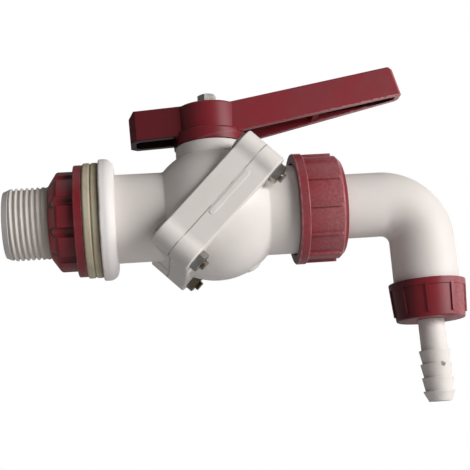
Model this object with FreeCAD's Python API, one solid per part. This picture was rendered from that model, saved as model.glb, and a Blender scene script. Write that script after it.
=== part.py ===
import FreeCAD, Part
import math
import os

# Vat drain tap: a moulded ball tap that clamps in a tank wall, with a bolted body,
# a union elbow and a barbed hose tail.
# Millimetres. Origin: on the pipe's axis, in the sealing face of the tank collar.
# +X runs with the flow to the outlet, +Z runs up the stem, -Y faces the viewer.

V = FreeCAD.Vector

# Clearances and fits
RUNNING_FIT = 0.05
SLIP = 0.1
SIDE_GAP = 0.3
LIP_GAP = 0.6
OVERSHOOT = 1.0

# Inlet thread, collar and pipe
THREAD_R = 16.62
THREAD_DEPTH = 1.48
THREAD_CHAMFER = 1.2
SHANK_LENGTH = 42.9
BORE_R = 12.5
COLLAR_R = 28.3
COLLAR_THICK = 7.0
COLLAR_BACK_ROUND = 4.5
COLLAR_FACE_ROUND = 0.8
PIPE_R = 20.7

# Tank gaskets and lock nut
GASKET_THICK = 3.65
GASKET_R = 26.8
GASKET_ROUND = 1.0
LOCK_FLANGE_R = 26.0
LOCK_FLANGE_THICK = 4.1
LOCK_HUB_R = 23.2
LOCK_HUB_LENGTH = 11.7
LOCK_NOSE_R = 17.5
LOCK_NOSE_LENGTH = 3.9
LOCK_FLUTES = 10
FLUTE_R = 2.6
FLUTE_DEPTH = 1.5
FLUTE_FIRST_DEG = 6.8
LOCK_NOSE_ROUND = 1.5
LOCK_EDGE_ROUND = 0.5

# Ball, seats and the round body
STEM_X = 53.1
BALL_TO_BORE = 1.68
BALL_ROOM = 5.0
BODY_WALL = 5.4
SLOT_WIDTH = 6.2
SLOT_DEPTH = 5.7
SEAT_WALL = 4.1
SEAT_BACK_ROOM = 2.0
SEAT_RING_WIRE_R = 0.9

# Bolted split: both plates lie at 45 degrees to the pipe
SPLIT_TILT_DEG = 45.0
SPLIT_OFFSET = 0.0
PLATE_THICK = 10.2
LUG_R = 7.2
WAIST_OUTSET = 1.0
LUG_OUTSET = 1.4
WAIST_BLEND_R = 9.0
PLATE_EDGE_ROUND = 0.8
SPIGOT_WALL = 2.2
SPIGOT_LENGTH = 1.6
RING_WIRE_R = 1.1

# Bolts, M6 with 10 mm hexagons
BOLT_R = 3.0
BOLT_HOLE_R = 3.3
HEX_FLATS = 10.0
BOLT_HEAD_THICK = 3.8
NUT_THICK = 3.2
STUD_END = 1.9
HEX_CHAMFER = 0.6
BOLT_HEAD_TURN_DEG = 30.0
NUT_FIRST_DEG = 8.0
NUT_STEP_DEG = 17.0

# Stem and its housing
NECK_R = 16.6
NECK_RISE = 0.7
NECK_CORE_R = 12.0
NECK_CORE_RISE = 6.9
STEM_R = 7.0
STEM_COLLAR_R = 10.0
STEM_COLLAR_RISE = 1.3
STEM_COLLAR_THICK = 4.0
THRUST_WASHER_THICK = 1.0
TANG_END_GAP = 0.5
TANG_LENGTH = 14.0
STEM_GROOVE_R = 5.8
STEM_GROOVE_WIDTH = 1.5
STEM_RING_INSET = 3.0
SQUARE_FLATS = 9.8
SCREW_HOLE_R = 2.5

# Lever
SKIRT_R = 17.2
SKIRT_HEIGHT = 6.0
SKIRT_ROUND = 1.0
BOSS_R = 15.9
BOSS_HEIGHT = 12.5
BOSS_ROUND = 1.0
DOME_RISE = 2.9
DOME_R = 7.2
DOME_WALL = 2.8
ARM_RISE_DEG = 11.8
ARM_DEPTH = 15.1
ARM_TOP_DROP = 1.7
ARM_REACH = 93.0
ARM_ROOT_HALF = 12.6
ARM_TIP_HALF = 4.6
REAR_RISE_DEG = 3.2
REAR_TOP_RISE = 1.1
REAR_DEPTH = 15.0
REAR_REACH = 38.1
REAR_ROOT_HALF = 8.7
REAR_TIP_HALF = 7.4
ARM_CORNER = 1.5
REAR_CORNER = 3.0
ARM_END_CUT = 2.6
ARM_END_DROP = 1.6
REAR_END_CUT = 2.4
REAR_END_DROP = 3.0
ARM_EDGE_ROUND = 0.7
ARM_DRAFT_DEG = 3.0
ARM_WALL = 2.6
ARM_RIB_FROM_STEM = 49.0
ARM_RIB_THICK = 2.2
ARM_RIB_DEPTH = 10.0
TURN_DEG = 90.0
STOP_R = 14.2
STOP_HEIGHT = 3.0
STOP_KEY_DEG = 24.0
STOP_PLAY_DEG = 1.5

# Lever screw, M5
SCREW_R = 2.4
SCREW_FLATS = 8.0
SCREW_HEAD_THICK = 3.9
SCREW_LENGTH = 16.0
SCREW_TURN_DEG = 12.0
LEVER_HOLE_R = 2.8
LEVER_WASHER_R = 5.0
LEVER_WASHER_THICK = 0.8

# Outlet neck and union nut
OUTLET_R = 20.9
OUTLET_END = 102.0
OUTLET_THREAD_R = 20.2
UNION_START = 90.0
UNION_LENGTH = 22.5
UNION_RIM_R = 26.2
UNION_RIM_LENGTH = 4.4
UNION_WALL = 4.2
UNION_RIB_HEIGHT = 1.3
UNION_RIB_WIDTH = 1.3
UNION_RIB_END_GAP = 3.2
UNION_RIBS = 12
UNION_RIB_FIRST_DEG = 11.0
UNION_RIM_ROUND = 0.6
UNION_EDGE_ROUND = 0.5
UNION_CHAMFER = 2.2
UNION_LIP = 4.3
UNION_GASKET_THICK = 2.4
MOUTH_GAP = 1.0
MOUTH_DEPTH = 2.5

# Elbow
ELBOW_R = 15.3
ELBOW_BORE_R = 12.0
ELBOW_FLANGE_THICK = 3.5
BEND_R = 18.6
LEG_X = 150.2
LEG_END = -49.2
LEG_THREAD_R = 14.4
LEG_THREAD_LENGTH = 9.5

# Tail nut
TAIL_NUT_TOP = -38.9
TAIL_NUT_BOTTOM = -56.7
TAIL_NUT_TOP_R = 18.0
TAIL_NUT_BOTTOM_R = 16.6
TAIL_NUT_BAND = 3.2
TAIL_NUT_BAND_STEP = 0.6
TAIL_NUT_LIP = 2.7
TAIL_RIBS = 9
TAIL_RIB_FIRST_DEG = 254.0
TAIL_EDGE_ROUND = 0.4
TAIL_END_ROUND = 0.8
TAIL_RIB_WIDTH = 1.5
TAIL_RIB_HEIGHT = 0.8
TAIL_RIB_END_GAP = 2.2
TAIL_MOUTH_GAP = 0.5
TAIL_MOUTH_DEPTH = 2.0
TAIL_GASKET_THICK = 2.0

# Hose tail
SHANK_R = 6.1
TAIL_BORE_R = 4.2
TAIL_TIP = -94.2
TAIL_TIP_R = 5.1
BARBS = 4
BARB_R = 7.2
BARB_ROOT_R = 6.2
BARB_FIRST = -70.9
BARB_PITCH = 6.2
BARB_LAND = 0.5

# Places worked out from the sizes above
GASKET_MID_X = -GASKET_THICK
LOCK_FACE_X = -2 * GASKET_THICK
LOCK_HUB_X = LOCK_FACE_X - LOCK_FLANGE_THICK
LOCK_END_X = LOCK_HUB_X - LOCK_HUB_LENGTH
PITCH_R = THREAD_R - THREAD_DEPTH / 2
SHANK_CLEAR_R = PITCH_R + SIDE_GAP
BALL_R = BORE_R * BALL_TO_BORE
CAVITY_R = BALL_R + BALL_ROOM
BODY_R = CAVITY_R + BODY_WALL
SLOT_FLOOR = BALL_R - SLOT_DEPTH
SEAT_BORE_R = BORE_R + 4 * SLIP
SEAT_R = SEAT_BORE_R + SEAT_WALL
SEAT_NOSE = math.sqrt(BALL_R ** 2 - SEAT_R ** 2)
SEAT_POCKET = BALL_R + SEAT_BACK_ROOM
BACK_RING_R = (SEAT_BORE_R + SEAT_R) / 2
SPIGOT_R = CAVITY_R + SPIGOT_WALL
SPLIT_FAR = SPLIT_OFFSET + PLATE_THICK
SPLIT_NEAR = SPLIT_OFFSET - PLATE_THICK
WAIST_HALF = BODY_R + WAIST_OUTSET
BOLT_HALF_PITCH = WAIST_HALF + LUG_OUTSET - LUG_R
NECK_TOP = BODY_R + NECK_RISE
NECK_CORE_TOP = NECK_TOP + NECK_CORE_RISE
STEM_COLLAR_LOW = BALL_R + STEM_COLLAR_RISE
STEM_SHOULDER = STEM_COLLAR_LOW + STEM_COLLAR_THICK
STEM_SEAT = STEM_SHOULDER + THRUST_WASHER_THICK
TANG_LOW = SLOT_FLOOR + TANG_END_GAP
STEM_RING_LOW = STEM_SEAT + STEM_RING_INSET
STEM_RING_HIGH = NECK_CORE_TOP - STEM_RING_INSET
SKIRT_LOW = NECK_TOP + SIDE_GAP
SKIRT_TOP = SKIRT_LOW + SKIRT_HEIGHT
BOSS_TOP = SKIRT_TOP + BOSS_HEIGHT
DOME_TOP = BOSS_TOP + DOME_RISE
SOCKET_ROOF = DOME_TOP - DOME_WALL
SQUARE_TOP = SOCKET_ROOF - LIP_GAP
ARM_TOP_AT_STEM = BOSS_TOP - ARM_TOP_DROP
REAR_TOP_AT_STEM = BOSS_TOP + REAR_TOP_RISE
SOCKET_FLATS = SQUARE_FLATS + 2 * SLIP
UNION_END = UNION_START + UNION_LENGTH
UNION_BODY_R = OUTLET_THREAD_R + UNION_WALL
UNION_RIB_R = UNION_BODY_R + UNION_RIB_HEIGHT
MOUTH_R = OUTLET_R + MOUTH_GAP
ELBOW_FLANGE_R = OUTLET_THREAD_R - LIP_GAP
ELBOW_FACE = OUTLET_END + UNION_GASKET_THICK
UNION_LIP_X = ELBOW_FACE + ELBOW_FLANGE_THICK
TAIL_FACE = LEG_END - TAIL_GASKET_THICK
TAIL_LIP_Z = TAIL_NUT_BOTTOM + TAIL_NUT_LIP
TAIL_MOUTH_R = ELBOW_R + TAIL_MOUTH_GAP
TAIL_FLANGE_R = LEG_THREAD_R - SIDE_GAP


class Axle:
    """A turning axis: a point on it, its direction, and a direction square to it."""

    def __init__(self, origin, along, out):
        self.origin = origin
        self.along = along
        self.out = out
        self.side = along.cross(out)

    def point(self, a, r, turn=0.0):
        """The point a along the axis and r out from it, turned by some degrees."""
        t = math.radians(turn)
        out = self.out * (r * math.cos(t)) + self.side * (r * math.sin(t))
        return self.origin + self.along * a + out

    def rod(self, a0, a1, r):
        return Part.makeCylinder(r, a1 - a0, self.point(a0, 0), self.along)

    def ring(self, a, ring_r, wire_r):
        return Part.makeTorus(ring_r, wire_r, self.point(a, 0), self.along)

    def tube(self, a0, a1, inner_r, outer_r):
        return self.rod(a0, a1, outer_r).cut(self.rod(a0 - OVERSHOOT, a1 + OVERSHOOT, inner_r))

    def turned(self, corners):
        """A solid of revolution; each corner is (along, radius) or (along, radius, rounding)."""
        face = outline_face(corners, self.point)
        return face.revolve(self.origin, self.along, 360)

    def prism(self, a0, a1, corners):
        """A prism along the axis on an outline given as (out, side) corners."""
        def place(x, y):
            return self.origin + self.along * a0 + self.out * x + self.side * y
        return outline_face(corners, place).extrude(self.along * (a1 - a0))

    def hexagon(self, a0, a1, flats, turn=0.0):
        """A hexagon bar whose outer corners are chamfered at its far end."""
        r = flats / 2 / math.cos(math.radians(30))
        pts = []
        for k in range(6):
            t = math.radians(60 * k + turn)
            pts.append((r * math.cos(t), r * math.sin(t)))
        bar = self.prism(a0, a1, pts)
        low, high = min(a0, a1), max(a0, a1)
        slim = flats / 2 - HEX_CHAMFER / 4
        if a1 > a0:
            cone = [(low, 0), (low, r + OVERSHOOT), (high - HEX_CHAMFER, r + OVERSHOOT),
                    (high, slim), (high, 0)]
        else:
            cone = [(high, 0), (high, r + OVERSHOOT), (low + HEX_CHAMFER, r + OVERSHOOT),
                    (low, slim), (low, 0)]
        return bar.common(self.turned(cone))


def rounded_path(corners):
    """Lines and arcs round a closed outline; a third value in a corner rounds it."""
    pieces = []
    ends = []
    count = len(corners)
    for i, corner in enumerate(corners):
        p = V(corner[0], corner[1], 0)
        r = corner[2] if len(corner) > 2 else 0
        before = corners[i - 1]
        after = corners[(i + 1) % count]
        a = V(before[0], before[1], 0) - p
        b = V(after[0], after[1], 0) - p
        if r <= 0:
            ends.append((p, None, p))
            continue
        a.normalize()
        b.normalize()
        half = a.getAngle(b) / 2
        reach = r / math.tan(half)
        mid = a + b
        mid.normalize()
        centre = p + mid * (r / math.sin(half))
        ends.append((p + a * reach, centre - mid * r, p + b * reach))
    for i in range(count):
        start, middle, end = ends[i]
        if middle is not None:
            pieces.append((start, middle, end))
        following = ends[(i + 1) % count][0]
        if end.distanceToPoint(following) > 1e-6:
            pieces.append((end, following))
    return pieces


def outline_face(corners, place):
    edges = []
    for piece in rounded_path(corners):
        pts = [place(p.x, p.y) for p in piece]
        if len(pts) == 3:
            edges.append(Part.Arc(*pts).toShape())
        else:
            edges.append(Part.LineSegment(*pts).toShape())
    return Part.Face(Part.Wire(edges))


def fused(first, *others):
    return first.multiFuse(list(others)).removeSplitter()


def cut(shape, *tools):
    return shape.cut(list(tools))


def only_solid(shape):
    """The one solid of a boolean's result."""
    solids = shape.Solids
    assert len(solids) == 1, "expected one solid, found %d" % len(solids)
    return solids[0]


TILT = math.radians(SPLIT_TILT_DEG)
X_AXIS = V(1, 0, 0)
Z_AXIS = V(0, 0, 1)
CENTRE = V(STEM_X, 0, 0)
PIPE = Axle(V(0, 0, 0), X_AXIS, Z_AXIS)
STEM = Axle(CENTRE, Z_AXIS, X_AXIS)
LEG = Axle(V(LEG_X, 0, 0), Z_AXIS, X_AXIS)
SPLIT = Axle(CENTRE, V(math.sin(TILT), 0, -math.cos(TILT)), V(math.cos(TILT), 0, math.sin(TILT)))


def bolt_axles():
    """The four bolt axes, square to the split."""
    axles = []
    for u in (1, -1):
        for v in (1, -1):
            place = SPLIT.out * (u * BOLT_HALF_PITCH) + SPLIT.side * (v * BOLT_HALF_PITCH)
            axles.append(Axle(CENTRE + place, SPLIT.along, SPLIT.out))
    return axles


def plate_corner():
    """Where one lug meets the blend into the waist: points for one eighth of the plate."""
    rise = WAIST_HALF + WAIST_BLEND_R - BOLT_HALF_PITCH
    reach = LUG_R + WAIST_BLEND_R
    run = math.sqrt(reach * reach - rise * rise)
    blend = V(BOLT_HALF_PITCH - run, WAIST_HALF + WAIST_BLEND_R, 0)
    lug = V(BOLT_HALF_PITCH, BOLT_HALF_PITCH, 0)
    joint = lug + (blend - lug) * (LUG_R / reach)
    low = V(blend.x, WAIST_HALF, 0)
    toward = (low + joint) * 0.5 - blend
    toward.normalize()
    middle = blend + toward * WAIST_BLEND_R
    return low, middle, joint


def plate_face(a):
    """The flange outline: four lugs with a shallow waist between each two."""
    low, middle, joint = plate_corner()
    top = LUG_R / math.sqrt(2)
    crown = V(BOLT_HALF_PITCH + top, BOLT_HALF_PITCH + top, 0)

    def place(p, turn):
        t = math.radians(turn)
        x = p.x * math.cos(t) - p.y * math.sin(t)
        y = p.x * math.sin(t) + p.y * math.cos(t)
        return SPLIT.point(a, 0) + SPLIT.out * x + SPLIT.side * y

    def mirrored(p):
        return V(p.y, p.x, 0)

    edges = []
    for turn in (0, 90, 180, 270):
        waist_end = V(-low.x, low.y, 0)
        edges.append(Part.LineSegment(place(waist_end, turn), place(low, turn)).toShape())
        edges.append(Part.Arc(place(low, turn), place(middle, turn), place(joint, turn)).toShape())
        far = mirrored(joint)
        edges.append(Part.Arc(place(joint, turn), place(crown, turn), place(far, turn)).toShape())
        edges.append(Part.Arc(place(far, turn), place(mirrored(middle), turn),
                              place(mirrored(low), turn)).toShape())
    return Part.Face(Part.Wire(Part.__sortEdges__(edges)))


def plate(a0, a1, outer_a):
    """A flange plate from a0 to a1, its outline rounded at the face that shows."""
    solid = plate_face(a0).extrude(SPLIT.along * (a1 - a0))
    outer = [e for e in solid.Edges if abs((e.CenterOfMass - CENTRE).dot(SPLIT.along) - outer_a) < 1e-4]
    return solid.makeFillet(PLATE_EDGE_ROUND, outer)


def bolt_holes(a0, a1):
    return [axle.rod(a0, a1, BOLT_HOLE_R) for axle in bolt_axles()]


def half_space(a0, a1):
    """A block on one side of the split, wide enough for the whole round body."""
    size = 2 * BODY_R
    corners = [(-size, -size), (size, -size), (size, size), (-size, size)]
    return SPLIT.prism(a0, a1, corners)


def seat_pocket(sign):
    floor = STEM_X + sign * SEAT_POCKET
    return PIPE.rod(min(floor, STEM_X), max(floor, STEM_X), SEAT_R + SLIP)


def stop_key():
    """A sector on the housing that the lever turns against."""
    key = STEM.tube(NECK_TOP - OVERSHOOT, SKIRT_LOW + STOP_HEIGHT, NECK_CORE_R - OVERSHOOT, STOP_R)
    return key.common(sector(180 - STOP_KEY_DEG / 2, 180 + STOP_KEY_DEG / 2))


def sector(start, end):
    """A tall wedge about the stem, wider than the lever, between two angles seen from above."""
    steps = int((end - start) / 40) + 1
    reach = 2 * SKIRT_R
    pts = [(0, 0)]
    for k in range(steps + 1):
        t = math.radians(start + (end - start) * k / steps)
        pts.append((reach * math.cos(t), reach * math.sin(t)))
    return STEM.prism(0, DOME_TOP, pts)


def inlet_body():
    thread_end = LOCK_END_X - SIDE_GAP
    far_x = STEM_X - CAVITY_R
    shank = PIPE.turned([
        (-SHANK_LENGTH, 0), (-SHANK_LENGTH, THREAD_R - THREAD_CHAMFER),
        (THREAD_CHAMFER - SHANK_LENGTH, THREAD_R), (thread_end, THREAD_R), (thread_end, PITCH_R),
        (0, PITCH_R), (0, COLLAR_R, COLLAR_FACE_ROUND), (COLLAR_THICK, COLLAR_R, COLLAR_BACK_ROUND),
        (COLLAR_THICK, PIPE_R), (far_x, PIPE_R), (far_x, 0)])
    neck = STEM.rod(0, NECK_TOP, NECK_R)
    core = STEM.rod(0, NECK_CORE_TOP, NECK_CORE_R)
    half = fused(shank, Part.makeSphere(BODY_R, CENTRE), neck, core, stop_key())
    half = cut(half, half_space(SPLIT_OFFSET, SPLIT_OFFSET + 2 * BODY_R))
    flange = plate(SPLIT_NEAR, SPLIT_OFFSET, SPLIT_NEAR)
    spigot = SPLIT.rod(SPLIT_OFFSET - OVERSHOOT, SPLIT_OFFSET + SPIGOT_LENGTH, SPIGOT_R)
    body = fused(half, flange, spigot)
    body = cut(body, Part.makeSphere(CAVITY_R, CENTRE), PIPE.rod(-SHANK_LENGTH - OVERSHOOT, STEM_X, BORE_R),
               seat_pocket(-1), STEM.rod(0, STEM_SEAT, STEM_COLLAR_R + RUNNING_FIT),
               STEM.rod(0, NECK_CORE_TOP + OVERSHOOT, STEM_R + RUNNING_FIT))
    body = cut(body, *bolt_holes(SPLIT_NEAR - OVERSHOOT, SPLIT_OFFSET + OVERSHOOT))
    return only_solid(body)


def outlet_body():
    near_x = STEM_X + CAVITY_R
    neck = PIPE.turned([(near_x, 0), (near_x, OUTLET_R),
                        (UNION_START + MOUTH_DEPTH, OUTLET_R),
                        (UNION_START + MOUTH_DEPTH, OUTLET_THREAD_R),
                        (OUTLET_END, OUTLET_THREAD_R), (OUTLET_END, 0)])
    half = fused(neck, Part.makeSphere(BODY_R, CENTRE))
    half = cut(half, half_space(SPLIT_OFFSET - 2 * BODY_R, SPLIT_OFFSET))
    body = fused(half, plate(SPLIT_OFFSET, SPLIT_FAR, SPLIT_FAR))
    start = SPLIT_OFFSET - OVERSHOOT
    groove_r = SPIGOT_R + SLIP + 2 * RING_WIRE_R
    groove = SPLIT.tube(start, SPLIT_OFFSET + 2 * RING_WIRE_R, SPIGOT_R, groove_r)
    recess = SPLIT.rod(start, SPLIT_OFFSET + SPIGOT_LENGTH + SLIP, SPIGOT_R + SLIP)
    body = cut(body, Part.makeSphere(CAVITY_R, CENTRE), PIPE.rod(STEM_X, OUTLET_END + OVERSHOOT, BORE_R),
               seat_pocket(1), recess, groove)
    body = cut(body, *bolt_holes(start, SPLIT_FAR + OVERSHOOT))
    return only_solid(body)


def body_seal_ring():
    return SPLIT.ring(SPLIT_OFFSET + RING_WIRE_R, SPIGOT_R + SLIP + RING_WIRE_R, RING_WIRE_R)


def ball():
    solid = Part.makeSphere(BALL_R, CENTRE)
    slot = Part.makeBox(SLOT_WIDTH, 2 * BALL_R, BALL_R,
                        V(STEM_X - SLOT_WIDTH / 2, -BALL_R, SLOT_FLOOR))
    return only_solid(cut(solid, PIPE.rod(STEM_X - BALL_R, STEM_X + BALL_R, BORE_R), slot))


def seat_ring(sign):
    back = SEAT_POCKET - 2 * SEAT_RING_WIRE_R
    near = STEM_X + sign * SEAT_NOSE
    far = STEM_X + sign * back
    ring = PIPE.tube(min(near, far), max(near, far), SEAT_BORE_R, SEAT_R)
    return only_solid(cut(ring, Part.makeSphere(BALL_R + RUNNING_FIT, CENTRE)))


def seat_backing(sign):
    return PIPE.ring(STEM_X + sign * (SEAT_POCKET - SEAT_RING_WIRE_R), BACK_RING_R, SEAT_RING_WIRE_R)


def stem():
    shaft = STEM.rod(STEM_SHOULDER, NECK_CORE_TOP, STEM_R)
    collar = STEM.rod(STEM_COLLAR_LOW, STEM_SHOULDER, STEM_COLLAR_R)
    tang_width = SLOT_WIDTH - 2 * SLIP
    tang = Part.makeBox(tang_width, TANG_LENGTH, STEM_COLLAR_LOW - TANG_LOW,
                        V(STEM_X - tang_width / 2, -TANG_LENGTH / 2, TANG_LOW))
    h = SQUARE_FLATS / 2
    drive = STEM.prism(NECK_CORE_TOP - OVERSHOOT, SQUARE_TOP, [(-h, -h), (h, -h), (h, h), (-h, h)])
    solid = fused(shaft, collar, tang, drive)
    grooves = []
    for z in (STEM_RING_LOW, STEM_RING_HIGH):
        grooves.append(STEM.tube(z - STEM_GROOVE_WIDTH / 2, z + STEM_GROOVE_WIDTH / 2,
                                 STEM_GROOVE_R, STEM_R + OVERSHOOT))
    hole = STEM.rod(SQUARE_TOP - SCREW_LENGTH, SQUARE_TOP + OVERSHOOT, SCREW_HOLE_R)
    return only_solid(cut(solid, hole, *grooves))


def stem_ring(z):
    wire = (STEM_R - STEM_GROOVE_R) / 2
    return STEM.ring(z, STEM_GROOVE_R + wire, wire)


def stem_thrust_washer():
    return STEM.tube(STEM_SHOULDER, STEM_SEAT, STEM_R + SIDE_GAP, STEM_COLLAR_R - SLIP)


def arm_block(reach, root_half, tip_half, nick, shrink, low, high):
    """One arm's drafted block along +X from the stem; shrink sets the hollow inside its walls."""
    def plan(z):
        lean = (high - z) * math.tan(math.radians(ARM_DRAFT_DEG)) / 2
        root = root_half - shrink + lean
        tip = tip_half - shrink + lean
        end = reach - shrink + lean
        flat = nick - shrink / 2 if nick > shrink else nick / 2
        pts = [(0, -root), (end - flat, -tip), (end, flat - tip), (end, tip - flat), (end - flat, tip),
               (0, root)]
        return Part.makePolygon([V(x, y, z) for x, y in pts + pts[:1]])
    return Part.makeLoft([plan(low), plan(high)], True, True)


def end_wedge(reach, along, down, half):
    """The corner cut off an arm's top edge at its end."""
    slope = V(along, 0, -down)
    start = V(reach - along, -half, 0) - slope
    end = V(reach, -half, -down) + slope
    corners = [start, end, V(end.x, -half, start.z), start]
    return Part.Face(Part.makePolygon(corners)).extrude(V(0, 2 * half, 0))


def arm(reach, root_half, tip_half, nick, end_cut, end_drop, depth):
    """A hollow arm along +X, its top at zero: drafted walls, a top web and an open underside."""
    drop = 2 * depth
    outer = arm_block(reach, root_half, tip_half, nick, 0, -drop, 0)
    outer = cut(outer, end_wedge(reach, end_cut, end_drop, root_half))
    sides = [e for e in outer.Edges if e.Length > reach / 2 and e.BoundBox.ZMin > -OVERSHOOT]
    outer = outer.makeFillet(ARM_EDGE_ROUND, sides)
    inner = arm_block(reach, root_half, tip_half, nick, ARM_WALL, -drop - OVERSHOOT, -ARM_WALL)
    size = 2 * reach
    below = Part.makeBox(size, size, drop, V(-reach / 2, -reach, -depth - drop))
    return cut(outer, inner, below)


def arm_rib():
    """A cross rib inside the long arm, square to its top web."""
    width = ARM_ROOT_HALF - ARM_WALL
    rib = Part.makeBox(ARM_RIB_THICK, 2 * width, ARM_RIB_DEPTH,
                       V(ARM_RIB_FROM_STEM, -width, -ARM_WALL / 2 - ARM_RIB_DEPTH))
    return rib.common(arm_block(ARM_REACH, ARM_ROOT_HALF, ARM_TIP_HALF, ARM_CORNER, ARM_WALL / 2,
                                -2 * ARM_DEPTH, 0))


def placed_arm(shape, top, rise_deg):
    shape.rotate(V(0, 0, 0), V(0, 1, 0), -rise_deg)
    shape.translate(V(STEM_X, 0, top))
    return cut(shape, STEM.rod(0, 2 * DOME_TOP, BOSS_R - OVERSHOOT))


def lever_handle():
    long_arm = fused(arm(ARM_REACH, ARM_ROOT_HALF, ARM_TIP_HALF, ARM_CORNER, ARM_END_CUT, ARM_END_DROP,
                         ARM_DEPTH), arm_rib())
    long_arm = placed_arm(long_arm, ARM_TOP_AT_STEM, ARM_RISE_DEG)
    rear_arm = arm(REAR_REACH, REAR_ROOT_HALF, REAR_TIP_HALF, REAR_CORNER, REAR_END_CUT, REAR_END_DROP,
                   REAR_DEPTH)
    rear_arm.rotate(V(0, 0, 0), Z_AXIS, 180)
    rear_arm = placed_arm(rear_arm, REAR_TOP_AT_STEM, REAR_RISE_DEG)
    boss = STEM.turned([
        (SKIRT_LOW, 0), (SKIRT_LOW, SKIRT_R), (SKIRT_TOP, SKIRT_R, SKIRT_ROUND), (SKIRT_TOP, BOSS_R),
        (BOSS_TOP, BOSS_R, BOSS_ROUND), (DOME_TOP, DOME_R), (DOME_TOP, 0)])
    lever = fused(long_arm, rear_arm, boss)
    h = SOCKET_FLATS / 2
    low = SKIRT_LOW - OVERSHOOT
    socket = STEM.prism(SKIRT_LOW, SOCKET_ROOF, [(-h, -h), (h, -h), (h, h), (-h, h)])
    hollow = STEM.rod(low, NECK_CORE_TOP + SIDE_GAP, NECK_CORE_R + SIDE_GAP)
    play = STOP_KEY_DEG / 2 + STOP_PLAY_DEG
    track = STEM.rod(low, SKIRT_LOW + STOP_HEIGHT + SIDE_GAP, STOP_R + SIDE_GAP)
    track = track.common(sector(180 - play, 180 + TURN_DEG + play))
    screw_hole = STEM.rod(SKIRT_LOW, DOME_TOP + OVERSHOOT, LEVER_HOLE_R)
    return only_solid(cut(lever, socket, hollow, track, screw_hole))


def lever_washer():
    return STEM.tube(DOME_TOP, DOME_TOP + LEVER_WASHER_THICK, LEVER_HOLE_R, LEVER_WASHER_R)


def lever_screw():
    base = DOME_TOP + LEVER_WASHER_THICK
    head = STEM.hexagon(base, base + SCREW_HEAD_THICK, SCREW_FLATS, SCREW_TURN_DEG)
    shank = STEM.rod(base - SCREW_LENGTH, base + OVERSHOOT, SCREW_R)
    return only_solid(fused(head, shank))


def flange_bolts():
    head_face = SPLIT_NEAR
    end = SPLIT_FAR + NUT_THICK + STUD_END
    bolts = []
    for axle in bolt_axles():
        head = axle.hexagon(head_face, head_face - BOLT_HEAD_THICK, HEX_FLATS, BOLT_HEAD_TURN_DEG)
        shank = axle.rod(head_face - OVERSHOOT, end, BOLT_R)
        bolts.append(only_solid(fused(head, shank)))
    return Part.makeCompound(bolts)


def flange_nuts():
    nuts = []
    for k, axle in enumerate(bolt_axles()):
        turn = NUT_FIRST_DEG + NUT_STEP_DEG * k
        nut = axle.hexagon(SPLIT_FAR, SPLIT_FAR + NUT_THICK, HEX_FLATS, turn)
        hole = axle.rod(SPLIT_FAR - OVERSHOOT, SPLIT_FAR + NUT_THICK + OVERSHOOT, BOLT_R + SLIP)
        nuts.append(only_solid(cut(nut, hole)))
    return Part.makeCompound(nuts)


def tank_gasket(x0):
    return PIPE.turned([(x0, SHANK_CLEAR_R), (x0, GASKET_R, GASKET_ROUND),
                        (x0 + GASKET_THICK, GASKET_R, GASKET_ROUND), (x0 + GASKET_THICK, SHANK_CLEAR_R)])


def tank_lock_nut():
    nut = PIPE.turned([
        (LOCK_END_X, PITCH_R + RUNNING_FIT), (LOCK_END_X, LOCK_NOSE_R),
        (LOCK_END_X + LOCK_NOSE_LENGTH, LOCK_HUB_R, LOCK_NOSE_ROUND), (LOCK_HUB_X, LOCK_HUB_R),
        (LOCK_HUB_X, LOCK_FLANGE_R, LOCK_EDGE_ROUND), (LOCK_FACE_X, LOCK_FLANGE_R, LOCK_EDGE_ROUND),
        (LOCK_FACE_X, PITCH_R + RUNNING_FIT)])
    flutes = []
    for k in range(LOCK_FLUTES):
        turn = FLUTE_FIRST_DEG + 360 * k / LOCK_FLUTES
        start = PIPE.point(LOCK_END_X - OVERSHOOT, LOCK_HUB_R - FLUTE_DEPTH + FLUTE_R, turn)
        flutes.append(Part.makeCylinder(FLUTE_R, LOCK_HUB_LENGTH + OVERSHOOT, start, X_AXIS))
    return only_solid(cut(nut, *flutes))


def grip_ribs(axle, a0, a1, inner_r, outer_r0, outer_r1, width, count, first_deg):
    """Narrow ribs along a nut, from outer_r0 at a0 to outer_r1 at a1."""
    ribs = []
    for k in range(count):
        turned = Axle(axle.origin, axle.along, axle.point(0, 1, first_deg + 360 * k / count) - axle.origin)
        corners = [(a0, inner_r), (a0, outer_r0), (a1, outer_r1), (a1, inner_r)]

        def place(a, r, base=turned):
            return base.point(a, r) - base.side * (width / 2)

        ribs.append(outline_face(corners, place).extrude(turned.side * width))
    return ribs


def union_nut():
    rim_end = UNION_START + UNION_RIM_LENGTH
    mouth_end = UNION_START + MOUTH_DEPTH + SIDE_GAP
    nut = PIPE.turned([
        (UNION_START, MOUTH_R), (UNION_START, UNION_RIM_R, UNION_RIM_ROUND),
        (rim_end, UNION_RIM_R, UNION_EDGE_ROUND), (rim_end, UNION_BODY_R),
        (UNION_END - UNION_CHAMFER, UNION_BODY_R, UNION_RIM_ROUND),
        (UNION_END, UNION_BODY_R - UNION_CHAMFER, UNION_EDGE_ROUND), (UNION_END, ELBOW_R + LIP_GAP),
        (UNION_LIP_X, ELBOW_R + LIP_GAP), (UNION_LIP_X, OUTLET_THREAD_R + RUNNING_FIT),
        (mouth_end, OUTLET_THREAD_R + RUNNING_FIT), (mouth_end, MOUTH_R)])
    ribs = grip_ribs(PIPE, rim_end - OVERSHOOT, UNION_END - UNION_RIB_END_GAP, UNION_BODY_R - OVERSHOOT,
                     UNION_RIB_R, UNION_RIB_R, UNION_RIB_WIDTH, UNION_RIBS, UNION_RIB_FIRST_DEG)
    return only_solid(fused(nut, *ribs))


def union_gasket():
    return PIPE.tube(OUTLET_END, ELBOW_FACE, BORE_R + SIDE_GAP, ELBOW_FLANGE_R)


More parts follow.
